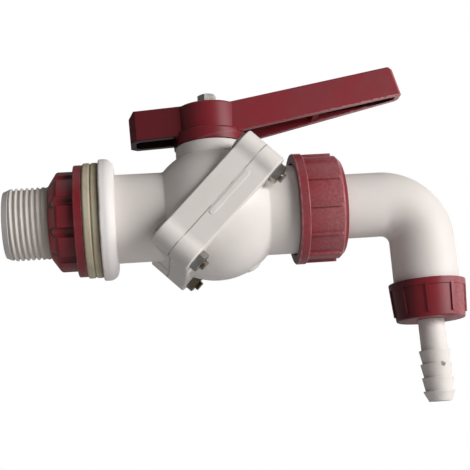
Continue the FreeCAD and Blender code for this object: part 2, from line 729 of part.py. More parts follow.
def bend(r):
    """A quarter turn of round bar from the pipe's line down to the leg's line."""
    start = V(LEG_X - BEND_R, 0, 0)
    disc = Part.Face(Part.Wire(Part.makeCircle(r, start, X_AXIS)))
    return disc.revolve(V(start.x, 0, -BEND_R), V(0, 1, 0), 90)


def elbow():
    straight_end = LEG_X - BEND_R
    thread_top = LEG_END + LEG_THREAD_LENGTH
    outer = fused(PIPE.rod(ELBOW_FACE, ELBOW_FACE + ELBOW_FLANGE_THICK, ELBOW_FLANGE_R),
                  PIPE.rod(ELBOW_FACE, straight_end, ELBOW_R), bend(ELBOW_R),
                  LEG.rod(thread_top, -BEND_R, ELBOW_R), LEG.rod(LEG_END, thread_top, LEG_THREAD_R))
    inner = fused(PIPE.rod(ELBOW_FACE - OVERSHOOT, straight_end, ELBOW_BORE_R), bend(ELBOW_BORE_R),
                  LEG.rod(LEG_END - OVERSHOOT, -BEND_R, ELBOW_BORE_R))
    return only_solid(cut(outer, inner))


def tail_nut():
    mouth_z = TAIL_NUT_TOP - TAIL_MOUTH_DEPTH
    band_z = TAIL_NUT_TOP - TAIL_NUT_BAND
    slope = (TAIL_NUT_TOP_R - TAIL_NUT_BOTTOM_R) / (TAIL_NUT_TOP - TAIL_NUT_BOTTOM)
    band_low_r = TAIL_NUT_TOP_R - slope * TAIL_NUT_BAND
    bore_r = LEG_THREAD_R + RUNNING_FIT
    nut = LEG.turned([
        (TAIL_NUT_TOP, TAIL_MOUTH_R), (TAIL_NUT_TOP, TAIL_NUT_TOP_R, TAIL_EDGE_ROUND),
        (band_z, band_low_r, TAIL_EDGE_ROUND / 2), (band_z, band_low_r - TAIL_NUT_BAND_STEP),
        (TAIL_NUT_BOTTOM, TAIL_NUT_BOTTOM_R - TAIL_NUT_BAND_STEP, TAIL_END_ROUND),
        (TAIL_NUT_BOTTOM, SHANK_R + LIP_GAP), (TAIL_LIP_Z, SHANK_R + LIP_GAP), (TAIL_LIP_Z, bore_r),
        (mouth_z, bore_r), (mouth_z, TAIL_MOUTH_R)])
    rib_low = TAIL_NUT_BOTTOM + TAIL_RIB_END_GAP
    low_r = TAIL_NUT_BOTTOM_R - TAIL_NUT_BAND_STEP + slope * TAIL_RIB_END_GAP
    top_r = band_low_r - TAIL_NUT_BAND_STEP
    ribs = grip_ribs(LEG, rib_low, band_z + OVERSHOOT, low_r - OVERSHOOT, low_r + TAIL_RIB_HEIGHT,
                     top_r + TAIL_RIB_HEIGHT, TAIL_RIB_WIDTH, TAIL_RIBS, TAIL_RIB_FIRST_DEG)
    return only_solid(fused(nut, *ribs))


def tail_gasket():
    return LEG.tube(TAIL_FACE, LEG_END, ELBOW_BORE_R, TAIL_FLANGE_R)


def hose_tail():
    corners = [(TAIL_FACE, TAIL_BORE_R), (TAIL_FACE, TAIL_FLANGE_R), (TAIL_LIP_Z, TAIL_FLANGE_R),
               (TAIL_LIP_Z, SHANK_R)]
    for k in range(BARBS):
        z = BARB_FIRST - k * BARB_PITCH
        root = SHANK_R if k == 0 else BARB_ROOT_R
        corners += [(z, root), (z, BARB_R), (z - BARB_LAND, BARB_R)]
    corners += [(TAIL_TIP, TAIL_TIP_R), (TAIL_TIP, TAIL_BORE_R)]
    return only_solid(LEG.turned(corners))


PARTS = {
    "inlet_body": inlet_body,
    "outlet_body": outlet_body,
    "body_seal_ring": body_seal_ring,
    "ball": ball,
    "seat_ring_inlet": lambda: seat_ring(-1),
    "seat_ring_outlet": lambda: seat_ring(1),
    "seat_backing_inlet": lambda: seat_backing(-1),
    "seat_backing_outlet": lambda: seat_backing(1),
    "stem": stem,
    "stem_thrust_washer": stem_thrust_washer,
    "stem_o_ring_lower": lambda: stem_ring(STEM_RING_LOW),
    "stem_o_ring_upper": lambda: stem_ring(STEM_RING_HIGH),
    "lever_handle": lever_handle,
    "lever_washer": lever_washer,
    "lever_screw": lever_screw,
    "flange_bolts": flange_bolts,
    "flange_nuts": flange_nuts,
    "tank_gasket_outer": lambda: tank_gasket(-2 * GASKET_THICK),
    "tank_gasket_inner": lambda: tank_gasket(GASKET_MID_X),
    "tank_lock_nut": tank_lock_nut,
    "union_nut": union_nut,
    "union_gasket": union_gasket,
    "elbow": elbow,
    "tail_nut": tail_nut,
    "tail_gasket": tail_gasket,
    "hose_tail": hose_tail,
}


def main():
    os.makedirs("parts", exist_ok=True)
    for name, make in PARTS.items():
        shape = make()
        box = shape.BoundBox
        print("%-20s solids %d valid %s volume %8.0f  x %.1f..%.1f y %.1f..%.1f z %.1f..%.1f" % (
            name, len(shape.Solids), shape.isValid(), shape.Volume,
            box.XMin, box.XMax, box.YMin, box.YMax, box.ZMin, box.ZMax))
        shape.exportStep("parts/%s.step" % name)


main()
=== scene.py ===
import math

import bmesh
import bpy
from bpy.props import FloatProperty, FloatVectorProperty, IntProperty, PointerProperty
from mathutils import Euler, Matrix, Vector


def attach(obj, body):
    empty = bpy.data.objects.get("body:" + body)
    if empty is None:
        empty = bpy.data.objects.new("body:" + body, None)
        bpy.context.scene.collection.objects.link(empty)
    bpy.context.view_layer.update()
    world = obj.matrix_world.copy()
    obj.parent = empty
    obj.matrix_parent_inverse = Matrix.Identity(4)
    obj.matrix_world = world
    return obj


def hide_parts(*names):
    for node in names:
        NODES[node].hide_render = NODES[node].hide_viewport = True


bl_info = {
    "name": "Vat Drain Tap",
    "version": (1, 0, 0),
    "blender": (4, 5, 0),
    "location": "View3D > Sidebar > Tap",
    "description": "Finishes a moulded vat drain tap on its CAD frame",
    "category": "Object",
}

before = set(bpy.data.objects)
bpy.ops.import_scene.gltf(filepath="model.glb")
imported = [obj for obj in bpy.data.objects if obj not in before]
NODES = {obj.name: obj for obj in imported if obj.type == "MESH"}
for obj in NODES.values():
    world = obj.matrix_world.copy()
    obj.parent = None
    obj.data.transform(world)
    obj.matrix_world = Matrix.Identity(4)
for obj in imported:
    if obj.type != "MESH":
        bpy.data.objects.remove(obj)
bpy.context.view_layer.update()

# Axes of the tap, in metres: the pipe runs along X, the stem and the hose leg along Z.
STEM_X = 0.0531
LEG_X = 0.1502


# Settings: sizes in metres, angles in radians, colours and lamps

def length_prop(name, description, default, **more):
    return FloatProperty(name=name, description=description, default=default, unit="LENGTH", **more)


def angle_prop(name, description, degrees):
    return FloatProperty(name=name, description=description, default=math.radians(degrees),
                         unit="ROTATION")


def power_prop(name, description, default):
    return FloatProperty(name=name, description=description, default=default, min=0, unit="POWER")


def colour_prop(name, description, default):
    return FloatVectorProperty(name=name, description=description, default=default, subtype="COLOR",
                               size=3, min=0, max=1)


class ThreadSizes(bpy.types.PropertyGroup):
    """The free length of the inlet thread."""
    crest_radius: length_prop("Crest radius", "Over the tops of the thread", 0.0168, min=0.01)
    depth: length_prop("Depth", "From crest to root", 0.00105, min=0.0002)
    pitch: length_prop("Pitch", "From one crest to the next", 0.00242, min=0.0005)
    bore_radius: length_prop("Bore radius", "Radius of the waterway", 0.0125, min=0.005)
    end: length_prop("Thread end", "Place of the free end on the pipe's axis", -0.0439)
    start: length_prop("Thread start", "Place under the lock nut's face", -0.02338)
    chamfer: length_prop("Chamfer", "How far the free end tapers in", 0.0015, min=0.0)
    taper: length_prop("Taper length", "Length of the tapered free end", 0.0036, min=0.0001)
    plain: length_prop("Plain length", "Free end without thread", 0.0030, min=0.0)
    fade: length_prop("Run-out", "Place where the thread starts to run out", -0.0285)
    turn: FloatProperty(name="Turn", description="Where the thread starts, in turns", default=0.0)
    segments: IntProperty(name="Segments", description="Faces round the pipe", default=160, min=32)
    rings_per_pitch: IntProperty(name="Rings per pitch", description="Faces along one pitch",
                                 default=14, min=6)


class BodySizes(bpy.types.PropertyGroup):
    """The globe, the pipes that leave it and the pad and nib on the outlet half."""
    globe_radius: length_prop("Globe radius", "Outside of the globe", 0.0314)
    pipe_radius: length_prop("Inlet pipe radius", "Outside of the inlet pipe", 0.0207)
    outlet_radius: length_prop("Outlet neck radius", "Outside of the outlet neck", 0.0209)
    blend_radius: length_prop("Blend radius", "Moulded blend between globe and pipe", 0.0016, min=0.0002)
    plate_face: length_prop("Plate face", "From the axis to the plates' near edge", 0.0324)
    pad_length: length_prop("Pad length", "Length of the pad on the outlet plate", 0.0260)
    pad_width: length_prop("Pad width", "Width of the pad", 0.0026)
    pad_height: length_prop("Pad height", "How far the pad stands out", 0.0003)
    pad_along: length_prop("Pad place", "Middle of the pad along the plate", 0.0045)
    pad_across: length_prop("Pad offset", "From the parting line to the pad's middle", 0.0020)
    nib_height: length_prop("Nib height", "How far the moulding nib stands out", 0.0009, min=0.0)
    nib_length: length_prop("Nib length", "Length of the moulding nib", 0.0075, min=0.001)
    nib_turn: angle_prop("Nib turn", "Place of the nib round the globe", 59)


class BoltSizes(bpy.types.PropertyGroup):
    """The four M5 bolts of the split body."""
    half_pitch: length_prop("Half pitch", "Half the side of the bolt square", 0.0266)
    plate_half: length_prop("Plate half thickness", "From the split to a plate's face", 0.0102)
    radius: length_prop("Radius", "Shank radius", 0.0025)
    pitch: length_prop("Pitch", "Thread pitch", 0.0008)
    flats: length_prop("Flats", "Across the flats of head and nut", 0.0084)
    head_height: length_prop("Head height", "Height above the plate", 0.0014)
    nut_height: length_prop("Nut height", "Height of the nut", 0.0036)
    stud_end: length_prop("Stud end", "Thread beyond the nut", 0.0018)
    turn_a: angle_prop("Turn A", "Turn of the lower near bolt", 12)
    turn_b: angle_prop("Turn B", "Turn of the lower far bolt", 25)
    turn_c: angle_prop("Turn C", "Turn of the upper near bolt", 20)
    turn_d: angle_prop("Turn D", "Turn of the upper far bolt", 5)


class LeverSizes(bpy.types.PropertyGroup):
    """The long arm's slope and the rib across its hollow."""
    arm_top: length_prop("Arm top", "Height of the arm's top at the stem", 0.0492)
    rise: angle_prop("Rise", "Slope of the long arm", 11.8)
    rim_depth: length_prop("Rim depth", "From the arm's top to its lower rim", 0.0151)
    rib_place: length_prop("Rib place", "Distance from the stem", 0.0501)
    rib_thick: length_prop("Rib thickness", "Along the arm", 0.0030)
    rib_half: length_prop("Rib half width", "Half the width across the hollow", 0.0057)
    rib_top: length_prop("Rib top", "Depth where the CAD rib is met", 0.0085)
    rib_gap: length_prop("Rib gap", "Between the rib's foot and the rim", 0.0006)


class FinishColours(bpy.types.PropertyGroup):
    """The plastics, rubbers and metal of the tap."""
    white: colour_prop("White plastic", "Body, elbow and hose tail", (0.80, 0.745, 0.712))
    white_dull: colour_prop("White, dull", "Slightly yellowed patches", (0.72, 0.675, 0.62))
    crimson: colour_prop("Crimson plastic", "Lever and nuts", (0.228, 0.017, 0.025))
    crimson_dull: colour_prop("Crimson, dull", "Faded patches", (0.20, 0.028, 0.036))
    scuff: colour_prop("Scuffs", "Rubbed edges of the crimson plastic", (0.55, 0.24, 0.24))
    gasket: colour_prop("Gasket rubber", "The two tank gaskets", (0.56, 0.50, 0.37))
    gasket_dull: colour_prop("Gasket, stained", "Stains on the gaskets", (0.36, 0.27, 0.15))
    steel: colour_prop("Zinc steel", "Bolts, nuts, screw and washer", (0.42, 0.42, 0.42))
    steel_dull: colour_prop("Steel, tarnished", "Tarnish on the fasteners", (0.28, 0.22, 0.14))


class StageSettings(bpy.types.PropertyGroup):
    """Floor, lamps and camera."""
    floor_height: length_prop("Floor height", "The floor lies well under the tap", -0.30)
    key_power: power_prop("Key lamp", "Soft lamp on the right", 12.3)
    fill_power: power_prop("Fill lamp", "Soft lamp on the left", 0.05)
    top_power: power_prop("Top lamp", "Soft lamp above", 0.35)
    back_power: power_prop("Back lamp", "Soft lamp behind", 1.6)
    ambient: FloatProperty(name="Ambient", description="Even light of the room", default=0.07, min=0)
    camera_place: FloatVectorProperty(name="Camera place", description="Where the camera stands",
                                      subtype="TRANSLATION", size=3, unit="LENGTH",
                                      default=(0.01912, -0.45616, -0.10980))
    camera_turn: FloatVectorProperty(name="Camera turn", description="Which way the camera looks",
                                     subtype="EULER", size=3, default=(1.78444, 0.07638, -0.07643))
    camera_lens: FloatProperty(name="Lens", description="Focal length in millimetres on a 36 mm sensor",
                               default=76.596, min=10)


def settings():
    return bpy.context.scene.drain_tap


class DrainTap(bpy.types.PropertyGroup):
    """All settings of the tap."""
    thread: PointerProperty(type=ThreadSizes)
    body: PointerProperty(type=BodySizes)
    bolts: PointerProperty(type=BoltSizes)
    lever: PointerProperty(type=LeverSizes)
    colours: PointerProperty(type=FinishColours)
    stage: PointerProperty(type=StageSettings)


# Helpers that build node trees

def feed(tree, socket, value):
    """Links another node's output to a socket, or sets the socket's own value."""
    if isinstance(value, bpy.types.NodeSocket):
        tree.links.new(value, socket)
    else:
        socket.default_value = value


def put(tree, kind, inputs=None, **attributes):
    """Adds a node; inputs maps a socket's name or number to a value or to another node's output."""
    node = tree.nodes.new(kind)
    for name, value in attributes.items():
        setattr(node, name, value)
    for key, value in (inputs or {}).items():
        feed(tree, node.inputs[key], value)
    return node


def maths(tree, operation, a, b=0.0, c=0.0):
    return put(tree, "ShaderNodeMath", {0: a, 1: b, 2: c}, operation=operation).outputs[0]


def times(tree, first, *more):
    """The product of several values."""
    for value in more:
        first = maths(tree, "MULTIPLY", first, value)
    return first


def hypotenuse(tree, a, b):
    squares = [maths(tree, "POWER", value, 2.0) for value in (a, b)]
    return maths(tree, "SQRT", maths(tree, "ADD", *squares))


def axes(tree, vector):
    """The X, Y and Z of a vector."""
    return tuple(put(tree, "ShaderNodeSeparateXYZ", {0: vector}).outputs)


def noise(tree, vector, scale, detail, roughness=0.5):
    return put(tree, "ShaderNodeTexNoise", {"Vector": vector, "Scale": scale, "Detail": detail,
                                            "Roughness": roughness}).outputs["Fac"]


def blend(tree, factor, a, b):
    """Mixes two colours."""
    node = put(tree, "ShaderNodeMix", data_type="RGBA")
    for key, value in (("Factor_Float", factor), ("A_Color", a), ("B_Color", b)):
        feed(tree, next(s for s in node.inputs if s.identifier == key), value)
    return next(s for s in node.outputs if s.identifier == "Result_Color")


def ramp(tree, value, low, high, out_low=0.0, out_high=1.0):
    """Goes softly from out_low to out_high as the value goes from low to high."""
    return put(tree, "ShaderNodeMapRange", {0: value, 1: low, 2: high, 3: out_low, 4: out_high},
               interpolation_type="SMOOTHSTEP").outputs[0]


def new_group(name, inputs, outputs):
    """A shader node group with named sockets; each input is (name, kind, default)."""
    group = bpy.data.node_groups.new(name, "ShaderNodeTree")
    for label, kind, default in inputs:
        socket = group.interface.new_socket(label, in_out="INPUT", socket_type="NodeSocket" + kind)
        if default is not None:
            socket.default_value = default
    for label, kind in outputs:
        group.interface.new_socket(label, in_out="OUTPUT", socket_type="NodeSocket" + kind)
    return group, group.nodes.new("NodeGroupInput"), group.nodes.new("NodeGroupOutput")


def use(tree, group, inputs):
    return put(tree, "ShaderNodeGroup", inputs, node_tree=group)


def rgba(colour):
    return (*colour, 1.0)


def moulding_group():
    """Colour drift, fine grain and uneven gloss of a moulded plastic or rubber."""
    name = "Moulded surface"
    if name in bpy.data.node_groups:
        return bpy.data.node_groups[name]
    group, ins, outs = new_group(
        name,
        [("Vector", "Vector", None), ("Colour", "Color", None), ("Dull Colour", "Color", None),
         ("Drift Scale", "Float", 60.0), ("Drift", "Float", 0.5), ("Grain Scale", "Float", 2500.0),
         ("Roughness", "Float", 0.4), ("Roughness Drift", "Float", 0.1)],
        [("Colour", "Color"), ("Roughness", "Float"), ("Height", "Float")])
    ins = ins.outputs
    vector = ins["Vector"]
    drift = noise(group, vector, ins["Drift Scale"], 4.0, 0.55)
    patch = times(group, ramp(group, drift, 0.35, 0.7), ins["Drift"])
    colour = blend(group, patch, ins["Colour"], ins["Dull Colour"])
    wave = noise(group, vector, 220.0, 1.0)
    height = maths(group, "MULTIPLY_ADD", wave, 1.6, noise(group, vector, ins["Grain Scale"], 2.0))
    gloss = maths(group, "SUBTRACT", noise(group, vector, 140.0, 3.0), 0.5)
    rough = maths(group, "MULTIPLY_ADD", gloss, ins["Roughness Drift"], ins["Roughness"])
    for label, value in (("Colour", colour), ("Roughness", rough), ("Height", height)):
        group.links.new(value, outs.inputs[label])
    return group


def rim_group():
    """A mask on one round edge of a turned piece whose axis is X: 1 on the edge, 0 away from it."""
    name = "Rim wear"
    if name in bpy.data.node_groups:
        return bpy.data.node_groups[name]
    group, ins, outs = new_group(
        name,
        [("Vector", "Vector", None), ("Along", "Float", 0.0), ("Radius", "Float", 0.02),
         ("Width", "Float", 0.001), ("Patch Scale", "Float", 260.0), ("Patchiness", "Float", 0.6)],
        [("Mask", "Float")])
    ins = ins.outputs
    x, y, z = axes(group, ins["Vector"])
    along = maths(group, "SUBTRACT", x, ins["Along"])
    out = maths(group, "SUBTRACT", hypotenuse(group, y, z), ins["Radius"])
    away = maths(group, "DIVIDE", hypotenuse(group, along, out), ins["Width"])
    patches = noise(group, ins["Vector"], ins["Patch Scale"], 3.0)
    gap = times(group, ramp(group, patches, 0.4, 0.62, 1.0, 0.0), ins["Patchiness"])
    mask = times(group, ramp(group, away, 0.25, 1.0, 1.0, 0.0), maths(group, "SUBTRACT", 1.0, gap))
    group.links.new(mask, outs.inputs["Mask"])
    return group


def spot_group():
    """A mask round one point: 1 at the point, 0 beyond the radius, with a ragged edge."""
    name = "Spot"
    if name in bpy.data.node_groups:
        return bpy.data.node_groups[name]
    group, ins, outs = new_group(
        name, [("Vector", "Vector", None), ("Centre", "Vector", None), ("Radius", "Float", 0.001),
               ("Ragged", "Float", 0.4)],
        [("Mask", "Float")])
    ins = ins.outputs
    away = put(group, "ShaderNodeVectorMath", {0: ins["Vector"], 1: ins["Centre"]},
               operation="DISTANCE").outputs["Value"]
    share = maths(group, "DIVIDE", away, ins["Radius"])
    uneven = maths(group, "SUBTRACT", noise(group, ins["Vector"], 900.0, 2.0), 0.5)
    ragged = maths(group, "MULTIPLY_ADD", uneven, ins["Ragged"], share)
    group.links.new(ramp(group, ragged, 0.55, 1.0, 1.0, 0.0), outs.inputs["Mask"])
    return group


def new_material(name):
    """A material with a Principled shader; returns material, tree, shader and the object vector."""
    material = bpy.data.materials.new(name)
    material.use_nodes = True
    tree = material.node_tree
    shader = tree.nodes["Principled BSDF"]
    vector = tree.nodes.new("ShaderNodeTexCoord").outputs["Object"]
    return material, tree, shader, vector


def turned_vector(tree, vector, place, turn):
    """The object vector seen from an axle: its origin moved to place and its axis turned onto X."""
    moved = put(tree, "ShaderNodeMapping", {"Vector": vector, "Location": [-v for v in place]},
                vector_type="POINT")
    return put(tree, "ShaderNodeMapping", {"Vector": moved.outputs[0], "Rotation": turn},
               vector_type="POINT").outputs[0]


def dress_shader(tree, shader, surface, grain, grain_height):
    """Feeds the shader from the surface group: colour, roughness and a bump."""
    tree.links.new(surface.outputs["Colour"], shader.inputs["Base Color"])
    tree.links.new(surface.outputs["Roughness"], shader.inputs["Roughness"])
    normal = put(tree, "ShaderNodeBump", {"Height": surface.outputs["Height"], "Strength": grain,
                                          "Distance": grain_height}).outputs["Normal"]
    tree.links.new(normal, shader.inputs["Normal"])


def plastic(name, colour, dull, roughness, drift=0.5, specular=0.4, grain=0.25, drift_scale=60.0):
    """Moulded plastic; returns the material, its tree, shader and object vector."""
    material, tree, shader, vector = new_material(name)
    surface = use(tree, moulding_group(), {
        "Vector": vector, "Colour": rgba(colour), "Dull Colour": rgba(dull), "Drift": drift,
        "Drift Scale": drift_scale, "Roughness": roughness})
    dress_shader(tree, shader, surface, grain, 0.00008)
    shader.inputs["Specular IOR Level"].default_value = specular
    return material, tree, shader, vector


def tint(tree, shader, mask, colour, strength=1.0):
    """Mixes a colour over the shader's base colour by a mask."""
    if strength != 1.0:
        mask = times(tree, mask, strength)
    below = shader.inputs["Base Color"].links[0].from_socket
    tree.links.new(blend(tree, mask, below, rgba(colour)), shader.inputs["Base Color"])


# Materials

def add_parting(tree, shader, vector):
    """A fine dark line where the halves meet, and painted shade on a strip along the web on the inlet
    half.
    """
    x, y, z = axes(tree, vector)
    reach = maths(tree, "SUBTRACT", x, STEM_X)
    across = times(tree, maths(tree, "SUBTRACT", reach, z), math.sqrt(0.5))
    along = times(tree, maths(tree, "ADD", reach, z), math.sqrt(0.5))
    line = times(tree, ramp(tree, maths(tree, "ABSOLUTE", across), 0.0001, 0.00045, 1.0, 0.0),
                 ramp(tree, noise(tree, vector, 160.0, 2.0), 0.35, 0.6, 0.25, 0.75))
    tint(tree, shader, line, (0.20, 0.17, 0.14))
    # Painted shade: the strip on the underside web between the lower lugs is darkened.
    side = maths(tree, "ABSOLUTE", y)
    web = times(tree, ramp(tree, along, -0.0306, -0.0316),
                ramp(tree, side, 0.0138, 0.0152), ramp(tree, side, 0.0192, 0.0180),
                ramp(tree, across, 0.0012, 0.0004), ramp(tree, across, -0.0096, -0.0085))
    tint(tree, shader, web, (0.30, 0.21, 0.15), 0.4)


def white_plastic(name="white moulding"):
    colours = settings().colours
    return plastic(name, colours.white, colours.white_dull, 0.48, drift=0.35, specular=0.25)


def threaded_white():
    """White plastic with darker thread roots, a painted shadow near the nut, a plain lead-in and painted
    light on the collar.
    """
    sizes = settings().thread
    thread_end = sizes.end + sizes.plain
    material, tree, shader, vector = white_plastic("threaded white moulding")
    add_parting(tree, shader, vector)
    x = axes(tree, vector)[0]
    radius = pipe_radius(tree, vector)
    free = times(tree, ramp(tree, x, -0.0225, -0.0230), ramp(tree, x, thread_end - 0.0008, thread_end))
    outer = ramp(tree, radius, sizes.bore_radius + 0.001, sizes.bore_radius + 0.0015)
    root = ramp(tree, radius, sizes.crest_radius - sizes.depth, sizes.crest_radius - 0.35 * sizes.depth,
                0.55, 0.0)
    tint(tree, shader, times(tree, root, free, outer), (0.45, 0.39, 0.32))
    lead_in = times(tree, outer, ramp(tree, x, thread_end, thread_end - 0.0006))
    tint(tree, shader, lead_in, (0.60, 0.58, 0.56), 0.2)
    # Painted shadow of the lock nut on the thread next to it.
    near_nut = ramp(tree, x, -0.0300, -0.0240, 0.0, 0.6)
    tint(tree, shader, times(tree, near_nut, free, outer), (0.27, 0.21, 0.16))
    # Painted light: the collar's white is made paler, as if more brightly lit.
    collar = times(tree, ramp(tree, x, 0.0150, 0.0130), ramp(tree, x, -0.0005, 0.0003),
                   ramp(tree, radius, 0.0225, 0.0250))
    tint(tree, shader, collar, (0.93, 0.885, 0.86), 0.85)
    rim = use(tree, rim_group(), {"Vector": vector, "Along": 0.0002, "Radius": 0.0283, "Width": 0.0011,
                                  "Patchiness": 1.0, "Patch Scale": 120.0})
    tint(tree, shader, rim.outputs["Mask"], (0.40, 0.34, 0.27), 0.6)
    return material


# The sunken gate mark on the hose tail
GATE_PLACE = (0.1516, -0.0066, -0.0776)
GATE_RADIUS = 0.0015


def hose_white():
    """White plastic with a dark spot for the gate mark."""
    material, tree, shader, vector = white_plastic("hose tail white")
    spot = use(tree, spot_group(), {"Vector": vector, "Centre": GATE_PLACE, "Radius": GATE_RADIUS})
    tint(tree, shader, spot.outputs["Mask"], (0.12, 0.11, 0.10), 0.8)
    return material


def crimson_plastic(name, rims=(), place=(0, 0, 0), turn=(0, 0, 0), roughness=0.36):
    """Crimson plastic; each rim is (along, radius, width, strength) of a rubbed round edge."""
    colours = settings().colours
    material, tree, shader, vector = plastic(name, colours.crimson, colours.crimson_dull, roughness,
                                             drift=0.8, specular=0.34, grain=0.3)
    if rims:
        own = turned_vector(tree, vector, place, turn)
        for along, radius, width, strength in rims:
            edge = use(tree, rim_group(), {"Vector": own, "Along": along, "Radius": radius,
                                           "Width": width})
            tint(tree, shader, edge.outputs["Mask"], colours.scuff, strength)
    return material, tree, shader, vector


def pipe_radius(tree, vector):
    """Distance from the pipe's axis."""
    return hypotenuse(tree, *axes(tree, vector)[1:])


# The lever's two arms, as (from, to, half width at the stem, narrowing, top at the stem, rise)
LONG_ARM = (0.017, 0.0905, 0.0126, 0.086, 0.0492, 0.2089)
REAR_ARM = (-0.0362, -0.017, 0.0087, -0.034, 0.0520, 0.056)
ARM_WALL = 0.0024
ARM_ROOF = 0.0022
LONG_RIM = 0.03377
# A point of the long arm's end face, as X and Z, and the face's lean
END_PLACE = (0.1445, 0.0666)
END_LEAN = 0.2366
HOLLOW_SHADE = (0.016, 0.003, 0.004)


def crimson_lever():
    """The lever's plastic: scuffs on the long arm's lower edge and end, and painted shade on the rear
    arm, under it and in the hollows.
    """
    scuff = settings().colours.scuff
    material, tree, shader, vector = crimson_plastic("crimson lever")
    x, y, z = axes(tree, vector)
    reach = maths(tree, "SUBTRACT", x, STEM_X)
    edge = maths(tree, "MULTIPLY_ADD", reach, LONG_ARM[5], LONG_RIM)
    away = maths(tree, "ABSOLUTE", maths(tree, "SUBTRACT", z, edge))
    patches = maths(tree, "SUBTRACT", noise(tree, vector, 420.0, 4.0, 0.6), 0.5)
    ragged = maths(tree, "MULTIPLY_ADD", patches, 0.0022, away)
    near_end = ramp(tree, reach, 0.030, 0.085, 0.12, 0.9)
    tint(tree, shader, times(tree, ramp(tree, ragged, 0.0001, 0.0006, 1.0, 0.0), near_end), scuff)
    # Painted shade on the rear arm, which is turned away from the key lamp.
    tint(tree, shader, ramp(tree, reach, -0.0050, -0.0150, 0.0, 0.7), (0.085, 0.008, 0.011))
    # Painted shade under the rear arm.
    rear_top = maths(tree, "MULTIPLY_ADD", reach, REAR_ARM[5], REAR_ARM[4])
    under = ramp(tree, maths(tree, "SUBTRACT", rear_top, z), 0.01450, 0.01480)
    tint(tree, shader, times(tree, under, ramp(tree, reach, -0.0150, -0.0170, 0.0, 0.9)),
         (0.018, 0.003, 0.004))
    end_line = maths(tree, "MULTIPLY_ADD", z, -END_LEAN, END_PLACE[0] + END_PLACE[1] * END_LEAN)
    end_face = ramp(tree, maths(tree, "SUBTRACT", x, end_line), -0.0013, -0.0009)
    tint(tree, shader, end_face, scuff, 0.45)
    side = maths(tree, "ABSOLUTE", y)
    for low, high, half, narrowing, top, rise in (LONG_ARM, REAR_ARM):
        inner = maths(tree, "MULTIPLY_ADD", reach, -narrowing, half - ARM_WALL)
        depth = maths(tree, "SUBTRACT", maths(tree, "MULTIPLY_ADD", reach, rise, top), z)
        hollow = times(tree, maths(tree, "LESS_THAN", side, inner),
                       maths(tree, "GREATER_THAN", depth, ARM_ROOF),
                       maths(tree, "GREATER_THAN", reach, low), maths(tree, "LESS_THAN", reach, high))
        tint(tree, shader, hollow, HOLLOW_SHADE, 0.97)
    return material


# The lock nut's flutes: how many, turn of the first, place and radius of their round ends, hub radius
FLUTES = 10
FLUTE_TURN = math.radians(25)
FLUTE_END = -0.0200
FLUTE_END_RADIUS = 0.0020
HUB_RADIUS = 0.0215


def lock_nut_crimson():
    """The lock nut's plastic: rubbed rims, painted shade on the hub, painted light on its shaded end and
    painted shade at the round ends of the flutes.
    """
    material, tree, shader, vector = crimson_plastic("crimson lock nut", [
        (-0.0114, 0.026, 0.0009, 0.25), (-0.0073, 0.026, 0.0009, 0.3)])
    x, y, z = axes(tree, vector)
    shade = times(tree, ramp(tree, pipe_radius(tree, vector), 0.0234, 0.0219, 0.25, 0.7),
                  ramp(tree, x, FLUTE_END, -0.0130), ramp(tree, x, -0.01135, -0.0116))
    tint(tree, shader, shade, (0.04, 0.005, 0.007))
    # Painted light: the end cone faces away from the key lamp and is made paler.
    tint(tree, shader, ramp(tree, x, -0.0199, -0.0206, 0.0, 0.7), (0.47, 0.050, 0.062))
    # Painted shade: dark arcs drawn where the flutes end in rounded scallops.
    step = 2 * math.pi / FLUTES
    turn = maths(tree, "DIVIDE", maths(tree, "ARCTAN2", z, y), step)
    part = maths(tree, "FRACT", maths(tree, "ADD", turn, 0.5 - FLUTE_TURN / step))
    across = times(tree, maths(tree, "SUBTRACT", part, 0.5), step * HUB_RADIUS)
    reach = maths(tree, "SUBTRACT", x, FLUTE_END)
    away = maths(tree, "SUBTRACT", hypotenuse(tree, across, reach), FLUTE_END_RADIUS)
    arc = ramp(tree, maths(tree, "ABSOLUTE", away), 0.0003, 0.0007, 0.95, 0.0)
    tint(tree, shader, times(tree, arc, ramp(tree, reach, 0.0004, -0.0002)), (0.025, 0.003, 0.005))
    return material


def union_nut_crimson():
    """The union nut's plastic: rubbed rims, frosted outside and painted shade in the mouth."""
    material, tree, shader, vector = crimson_plastic("crimson union nut", [
        (0.0902, 0.0261, 0.0008, 0.75), (0.0943, 0.0262, 0.0006, 0.45),
        (0.1103, 0.0244, 0.0008, 0.35), (0.1093, 0.0257, 0.0007, 0.9)])
    x = axes(tree, vector)[0]
    radius = pipe_radius(tree, vector)
    outside = times(tree, ramp(tree, x, 0.0905, 0.1115, 0.15, 0.55), ramp(tree, radius, 0.0236, 0.0241))
    frost_and_sheen = ramp(tree, noise(tree, vector, 700.0, 5.0, 0.7), 0.30, 0.75, 0.35, 0.85)
    tint(tree, shader, times(tree, outside, frost_and_sheen), (0.62, 0.26, 0.27))
    # Painted shade in the nut's mouth.
    mouth = times(tree, ramp(tree, x, 0.0904, 0.0901), ramp(tree, radius, 0.0259, 0.0254))
    tint(tree, shader, mouth, (0.070, 0.008, 0.012), 0.85)
    return material


def tail_nut_crimson():
    """The tail nut's plastic: rubbed rims, painted shade to the left and a painted highlight to the
    right.
    """
    material, tree, shader, vector = crimson_plastic("crimson tail nut", [
        (0.0389, 0.0179, 0.0008, 0.6), (0.0421, 0.0177, 0.0006, 0.35), (0.0545, 0.0165, 0.0008, 0.3)],
        place=(LEG_X, 0, 0), turn=(0, math.radians(90), 0))
    x = axes(tree, vector)[0]
    # Painted shade on the left side, away from the key lamp.
    tint(tree, shader, ramp(tree, x, 0.1425, 0.1365, 0.0, 0.65), (0.045, 0.008, 0.010))
    # Painted highlight on the right side, towards the key lamp.
    frost_and_sheen = ramp(tree, noise(tree, vector, 600.0, 4.0), 0.25, 0.7, 0.5, 1.0)
    tint(tree, shader, times(tree, ramp(tree, x, 0.1555, 0.1625, 0.0, 0.6), frost_and_sheen), (0.50, 0.25, 0.26))
    return material


